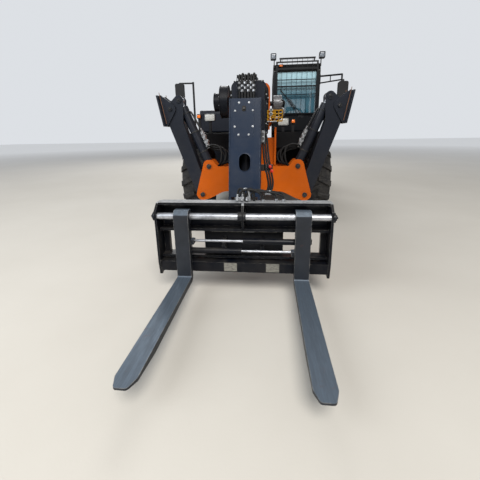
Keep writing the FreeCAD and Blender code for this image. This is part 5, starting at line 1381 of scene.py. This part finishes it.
def make_stabilizers():
    for side, sign in SIDES:
        def on(point):
            return Vector((point.x * sign, point.y, point.z))

        work = bmesh.new()
        for share, out, radius in ((0.27, 0.094, 0.024), (0.34, 0.098, 0.030),
                                   (0.42, 0.098, 0.026)):
            add_round(work, on(ram_point(share, out, -0.045)), on(ram_point(share, out, 0.05)),
                      radius)
        add_round(work, on(ram_point(0.24, 0.092)), on(ram_point(0.50, 0.094)), 0.027)
        add_round(work, on(ram_point(0.50, 0.094)), on(ram_point(0.545, 0.094)), 0.018, segments=6)
        for share in (0.29, 0.38, 0.45):
            add_round(work, on(ram_point(share, 0.098, -0.045)),
                      on(ram_point(share, 0.098, -0.078)), 0.015, segments=6)
            add_round(work, on(ram_point(share, 0.098, -0.078)),
                      on(ram_point(share, 0.098, -0.092)), 0.009)
        from_bmesh(f"valve_block_{side}", work, f"leg_barrel_{side}", ZINC, 0.002)
        collars = bmesh.new()
        for share in (0.22, 0.52, 0.80):
            add_round(collars, on(ram_point(share)), on(ram_point(share + 0.016)), 0.0655,
                      segments=40)
        from_bmesh(f"ram_collars_{side}", collars, f"leg_barrel_{side}", BOLT, 0.002)
        for number, y in enumerate((-0.028, 0.028)):
            hose(f"ram_pipe_{number}_{side}", [
                on(ram_point(0.50, 0.094, y)), on(ram_point(0.58, 0.094, y)),
                on(ram_point(0.68, 0.084, y)), on(ram_point(0.78, 0.080, y)),
                on(ram_point(0.815, 0.066, y))], 0.008, f"leg_barrel_{side}", BOLT)
        for number, (y, bulge, drop) in enumerate(RAM_LOOPS):
            hose(f"ram_hose_{number}_{side}", [
                on(place(0.655, STAB_Y + y, 1.215)), on(place(0.615, STAB_Y + y, 1.262 - drop)),
                on(place(0.735 - bulge * 0.85, STAB_Y + y * 1.3, 1.262 - drop)),
                on(place(0.735 - bulge, STAB_Y + y * 1.5, 1.15 - drop)),
                on(place(0.745 - bulge * 0.95, STAB_Y + y * 1.3, 1.02 - drop * 0.5)),
                on(place(0.49, STAB_Y + y, 0.965)), on(place(0.545, STAB_Y + y, 0.925)),
                on(place(0.565, STAB_Y + y, 0.860))], 0.0115, f"leg_barrel_{side}")
        heads = bmesh.new()
        for (x, z), radius in ((LEG_PIVOT, 0.034), (RAM_BASE, 0.034)):
            for face, ahead in ((STAB_Y - 0.122, -1), (STAB_Y + 0.122, 1)):
                at = on(place(x, face, z))
                look = Vector((0, ahead, 0))
                add_round(heads, at - look * 0.012, at + look * 0.006, radius, segments=36)
                add_bolt(heads, at + look * 0.006, look, 0.012)
        from_bmesh(f"pin_heads_{side}", heads, "chassis", BOLT, 0.0015)
        tips = bmesh.new()
        for (x, z), face in ((FOOT_PIN, 0.119), (RAM_TOP, 0.097)):
            for ahead in (-1, 1):
                at = on(place(x, STAB_Y + ahead * face, z))
                look = Vector((0, ahead, 0))
                add_round(tips, at, at + look * 0.006, 0.026, segments=32)
                add_bolt(tips, at + look * 0.006, look, 0.010)
        from_bmesh(f"leg_pin_caps_{side}", tips, f"leg_{side}", BOLT, 0.0015)
        edge = bmesh.new()
        for share in (-1, 1):
            add_round(edge, on(place(1.262, STAB_Y + share * 0.139, 1.950)),
                      on(place(1.188, STAB_Y + share * 0.139, 1.548)), 0.004, segments=8)
        from_bmesh(f"sole_edges_{side}", edge, f"foot_{side}", RUSTY, 0.0)


make_stabilizers()

# %% [markdown]
# ## Lamps and mirrors
# A lamp is a housing with a ribbed lens that bulges out of a rim. The CAD gives the housing,
# and the lens and rim are laid on its front, so that each lamp keeps its own size.

# %% Lenses
LENSES = (  # name, x, y of the face, z, width, height, lens material
    ("head_lamp_left", 0.446, -0.435, 1.572, 0.165, 0.110, CLEAR_LENS),
    ("turn_lamp_left", 0.601, -0.435, 1.577, 0.070, 0.070, AMBER_LENS),
    ("head_lamp_right", -0.725, -0.435, 1.660, 0.165, 0.110, CLEAR_LENS),
    ("turn_lamp_right", -0.900, -0.435, 1.680, 0.070, 0.070, AMBER_LENS),
    ("work_lamp_right", 0.288, 0.219, 2.655, 0.096, 0.100, WORK_LENS),
    ("work_lamp_left", 1.100, 0.219, 2.655, 0.096, 0.100, WORK_LENS),
)
RIM_WIDTH = 0.008


def make_lenses():
    for name, x, y, z, width, height, material in LENSES:
        front = facing("y", y, -1)
        inset = RIM_WIDTH + 0.002
        us = (x - width / 2 + inset, x + width / 2 - inset)
        vs = (z - height / 2 + inset, z + height / 2 - inset)
        rim = bmesh.new()
        add_rim(rim, front, us, vs, 0.010, RIM_WIDTH, 0.0, 0.007)
        from_bmesh(f"{name}_rim", rim, "chassis", LAMP_SHELL if width > 0.15 else PLASTIC, 0.002)
        lens_work = bmesh.new()
        add_dome(lens_work, front, us, vs, 0.007, 0.002)
        from_bmesh(name, lens_work, "chassis", material)


def make_mirror_glasses():
    for name, x, y, z in (("left", 1.420, 0.045, 2.075), ("right", -1.420, 0.415, 2.180)):
        back = facing("y", y, 1)
        shape = bmesh.new()
        add_rounded(shape, back, (x - 0.070, x + 0.070), (z - 0.115, z + 0.115), 0.026, 0.0, 0.0035)
        from_bmesh(f"mirror_glass_{name}", shape, "chassis", MIRROR, 0.001)
        rim = bmesh.new()
        add_rim(rim, back, (x - 0.070, x + 0.070), (z - 0.115, z + 0.115), 0.026, 0.007, 0.0, 0.006)
        from_bmesh(f"mirror_rim_{name}", rim, "chassis", PLASTIC, 0.0015)
    strut = bmesh.new()
    add_round(strut, place(1.250, 0.206, 2.330), place(1.250, 0.206, 2.236), 0.008, segments=12)
    for x, y, z in ((-1.420, 0.380, 2.195), (1.420, 0.020, 2.205)):
        add_round(strut, place(x, y, z), place(x, y, z + 0.028), 0.021, 0.017, 20)
    from_bmesh("mirror_struts", strut, "chassis", BOLT, 0.0015)


def make_marker():
    """Small amber lamp on the front edge of the cab's roof."""
    foot = bmesh.new()
    add_rounded(foot, facing("y", 0.345, -1), (0.380, 0.460), (2.506, 2.552), 0.008, 0.0, 0.026)
    from_bmesh("marker_foot", foot, "chassis", PLASTIC, 0.002)
    work = bmesh.new()
    add_dome(work, facing("y", 0.319, -1), (0.385, 0.455), (2.510, 2.548), 0.014, 0.006)
    from_bmesh("marker_lamp", work, "chassis", AMBER_LENS)


make_lenses()
make_mirror_glasses()
make_marker()

# %% [markdown]
# ## Cab
# Each pane sits in a rubber gasket. A wiper hangs on two parallel arms before the windscreen,
# and the door has a handle and hangs beside a grab rail.

# %% Cab fittings
GASKETS = (  # name, body, axis, level, way, low and high along u, low and high along v, radius
    ("screen", "chassis", "y", 0.300, -1, (0.350, 1.038), (1.745, 2.425), 0.004),
    ("rear", "chassis", "y", 1.900, 1, (0.350, 1.038), (1.500, 2.150), 0.004),
    ("boom_side", "chassis", "x", 0.290, -1, (0.460, 1.760), (1.500, 2.400), 0.004),
    ("quarter", "chassis", "x", 1.098, 1, (0.460, 0.890), (1.500, 2.400), 0.004),
    ("door", "cab_door", "x", 1.098, 1, (1.030, 1.680), (1.180, 2.350), 0.060),
)


def make_gaskets():
    for name, body, axis, level, way, us, vs, radius in GASKETS:
        work = bmesh.new()
        add_rim(work, facing(axis, level, way), us, vs, radius, 0.014, -0.002, 0.004)
        from_bmesh(f"gasket_{name}", work, body, DARK, 0.0015)


def make_wipers():
    arms, blades = bmesh.new(), bmesh.new()
    low, tip = (0.770, 1.690), (0.400, 2.130)
    along = Vector((tip[0] - low[0], 0, tip[1] - low[1]))
    aside = Vector((along.z, 0, -along.x)).normalized()
    for shift in (0.0, 0.040):
        start = place(low[0], 0.290, low[1]) + aside * shift
        add_round(arms, start, start + along * 0.62, 0.006, segments=10)
        add_round(arms, start + Vector((0, 0.012, 0)), start - Vector((0, 0.008, 0)), 0.016,
                  segments=20)
    middle = place(low[0], 0.297, low[1]) + along * 0.62 + aside * 0.020
    add_round(blades, middle - along * 0.34, middle + along * 0.38, 0.007, segments=8)
    for share in (-0.2, 0.0, 0.2):
        at = middle + along * share
        add_round(blades, at, at - Vector((0, 0.009, 0)), 0.009, segments=12)
    add_box(arms, place(0.735, 0.292, 1.668), place(0.835, 0.301, 1.722))
    from_bmesh("wiper_arms", arms, "chassis", BOLT, 0.001)
    from_bmesh("wiper_blade", blades, "chassis", DARK, 0.001)


def make_door_fittings():
    shell = bmesh.new()
    side = facing("x", 1.098, 1)
    add_rim(shell, side, (0.992, 1.104), (1.062, 1.122), 0.010, 0.008, 0.0, 0.008)
    add_rounded(shell, side, (0.988, 1.108), (1.058, 1.126), 0.014, 0.0, 0.003)
    from_bmesh("door_handle_dish", shell, "cab_door", PLASTIC, 0.0015)
    lever = bmesh.new()
    add_rounded(lever, side, (0.998, 1.096), (1.078, 1.104), 0.008, 0.012, 0.022)
    add_round(lever, side(1.010, 1.091, 0.0), side(1.010, 1.091, 0.014), 0.009, segments=20)
    from_bmesh("door_handle", lever, "cab_door", ZINC, 0.002)
    rail = [side(0.918, z, out) for z, out in (
        (1.36, 0.0), (1.36, 0.042), (1.40, 0.052), (1.80, 0.052), (2.20, 0.052),
        (2.24, 0.042), (2.24, 0.0))]
    hose("grab_rail", rail, 0.011, "chassis", YELLOW)
    screws = bmesh.new()
    for z in (1.36, 2.24):
        add_round(screws, side(0.918, z, 0.0), side(0.918, z, 0.006), 0.024, segments=28)
        for shift in (-0.016, 0.016):
            add_bolt(screws, side(0.918 + shift, z, 0.005), (1, 0, 0), 0.004)
    from_bmesh("grab_rail_feet", screws, "chassis", BOLT, 0.001)
    ribs = bmesh.new()
    for x in (0.44, 0.69, 0.94):
        add_rounded(ribs, facing("z", 2.560, 1), (x - 0.04, x + 0.04), (0.46, 1.72), 0.02, -0.001,
                    0.007)
    from_bmesh("roof_ribs", ribs, "chassis", CAB_BLACK, 0.003)


def make_treads():
    """Raised studs on the two step treads."""
    work = bmesh.new()
    for z in (0.455, 0.640):
        for row in range(4):
            for column in range(10):
                at = place(1.056 + 0.026 * row, 1.105 + 0.029 * column, z)
                add_round(work, at, at + Vector((0, 0, 0.005)), 0.007, 0.004, 10)
    from_bmesh("tread_studs", work, "chassis", ZINC, 0.0)


make_gaskets()
make_wipers()
make_door_fittings()
make_treads()

# %% [markdown]
# ## Carriage
# Caps close the ends of the fork shaft, and a small blank plate lies on the carriage, flat,
# because the forks slide past it.

# %% Carriage fittings


def make_carriage_fittings():
    nuts = bmesh.new()
    low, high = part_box("fork_shaft")
    y, z = (low.y + high.y) / 2, (low.z + high.z) / 2
    for sign, end in ((-1, low.x), (1, high.x)):
        at = Vector((end, y, z))
        add_round(nuts, at, at + Vector((sign * 0.012, 0, 0)), 0.030, 0.024, 32)
        add_bolt(nuts, at + Vector((sign * 0.011, 0, 0)), (sign, 0, 0), 0.011)
    from_bmesh("shaft_end_caps", nuts, "carriage", NOSE_BLACK, 0.0015)
    tag = bmesh.new()
    add_rounded(tag, facing("y", -2.7735, -1), (-0.004, 0.100), (0.541, 0.573), 0.004, 0.0, 0.0015)
    from_bmesh("blank_plate", tag, "carriage", LAMP_SHELL, 0.0004)


make_carriage_fittings()

# %% [markdown]
# ## Engine hood, tanks and counterweight
# A wire net closes the hood's slots from inside, latches hold its lower edge, the tanks have
# filler caps, and round reflectors mark the machine's rear.

# %% Rear fittings
GRILLE_YS, GRILLE_ZS = (1.480, 2.170), (1.160, 1.590)


def make_hood_fittings():
    net = bmesh.new()
    inside = facing("x", -1.066, 1)
    for number in range(44):
        y = GRILLE_YS[0] + 0.016 * number
        add_box(net, inside(y, GRILLE_ZS[0], 0.0), inside(y + 0.0022, GRILLE_ZS[1], 0.0022))
    for number in range(27):
        z = GRILLE_ZS[0] + 0.016 * number
        add_box(net, inside(GRILLE_YS[0], z, 0.0018), inside(GRILLE_YS[1], z + 0.0022, 0.004))
    from_bmesh("grille_net", net, "engine_hood", BOLT, 0.0, smooth=False)
    latches, pulls = bmesh.new(), bmesh.new()
    flank = facing("x", -1.100, -1)
    for y in (1.12, 1.66, 2.16):
        add_rounded(latches, flank, (y - 0.022, y + 0.022), (0.885, 0.965),
                    0.010, 0.0, 0.006)
        add_dome(pulls, flank, (y - 0.012, y + 0.012), (0.895, 0.955), 0.010, 0.006, 8)
    from_bmesh("hood_latches", latches, "engine_hood", ZINC, 0.0015)
    from_bmesh("hood_pulls", pulls, "engine_hood", DARK)
    frame_rim = bmesh.new()
    add_rim(frame_rim, flank, (1.480, 2.170), (1.130, 1.620), 0.040, 0.010, 0.0, 0.003)
    from_bmesh("grille_rim", frame_rim, "engine_hood", NOSE_BLACK, 0.001)


def make_tank_caps():
    for name, sign, y in (("fuel", 1, 1.50), ("oil", -1, 1.32)):
        side = facing("x", sign * 1.030, sign)
        cap = bmesh.new()
        add_round(cap, side(y, 0.615, -0.002), side(y, 0.615, 0.012), 0.046, 0.043, 48)
        for number in range(12):
            angle = 2 * math.pi * number / 12
            u, v = y + 0.036 * math.cos(angle), 0.615 + 0.036 * math.sin(angle)
            add_round(cap, side(u, v, 0.008), side(u, v, 0.030), 0.006, segments=10)
        add_round(cap, side(y, 0.615, 0.012), side(y, 0.615, 0.032), 0.036, 0.033, 48)
        from_bmesh(f"{name}_cap", cap, "chassis", DARK, 0.001)
    gauge = bmesh.new()
    side = facing("x", -1.030, -1)
    add_rim(gauge, side, (1.470, 1.488), (0.500, 0.640), 0.008, 0.007, 0.0, 0.008)
    from_bmesh("oil_gauge_rim", gauge, "chassis", ZINC, 0.001)
    pane = bmesh.new()
    add_rounded(pane, side, (1.470, 1.488), (0.500, 0.640), 0.008, 0.0, 0.004)
    # The gauge pane takes the amber lens, which glows a little: a painted glow, since the pane is
    # no lamp.
    from_bmesh("oil_gauge_pane", pane, "chassis", AMBER_LENS, 0.0005)


def make_reflectors():
    rear = facing("y", 4.200, 1)
    dish, glow = bmesh.new(), bmesh.new()
    for x in (-0.70, 0.70):
        add_round(dish, rear(x, 0.84, -0.003), rear(x, 0.84, 0.006), 0.040, segments=40)
        add_round(glow, rear(x, 0.84, 0.005), rear(x, 0.84, 0.011), 0.034, 0.031, 40)
    from_bmesh("reflector_dishes", dish, "chassis", DARK, 0.001)
    # The reflectors take the red lens, which glows a little: a painted glow, since a reflector is
    # no lamp.
    from_bmesh("reflectors", glow, "chassis", RED_LENS, 0.001)
    lips = bmesh.new()
    for x in (-0.800, 0.800):
        add_rim(lips, rear, (x - 0.104, x + 0.104), (0.956, 1.044), 0.012, 0.012, -0.002, 0.012)
    from_bmesh("rear_lamp_rims", lips, "chassis", DARK, 0.0015)
    eyes = bmesh.new()
    for x in (-0.62, 0.62):
        for step in range(12):
            a, b = math.pi * step / 12, math.pi * (step + 1) / 12
            add_round(eyes, place(x + 0.045 * math.cos(a), 4.02, 1.285 + 0.050 * math.sin(a)),
                      place(x + 0.045 * math.cos(b), 4.02, 1.285 + 0.050 * math.sin(b)), 0.011,
                      segments=14)
    from_bmesh("lifting_eyes", eyes, "chassis", BOLT)


make_hood_fittings()
make_tank_caps()
make_reflectors()
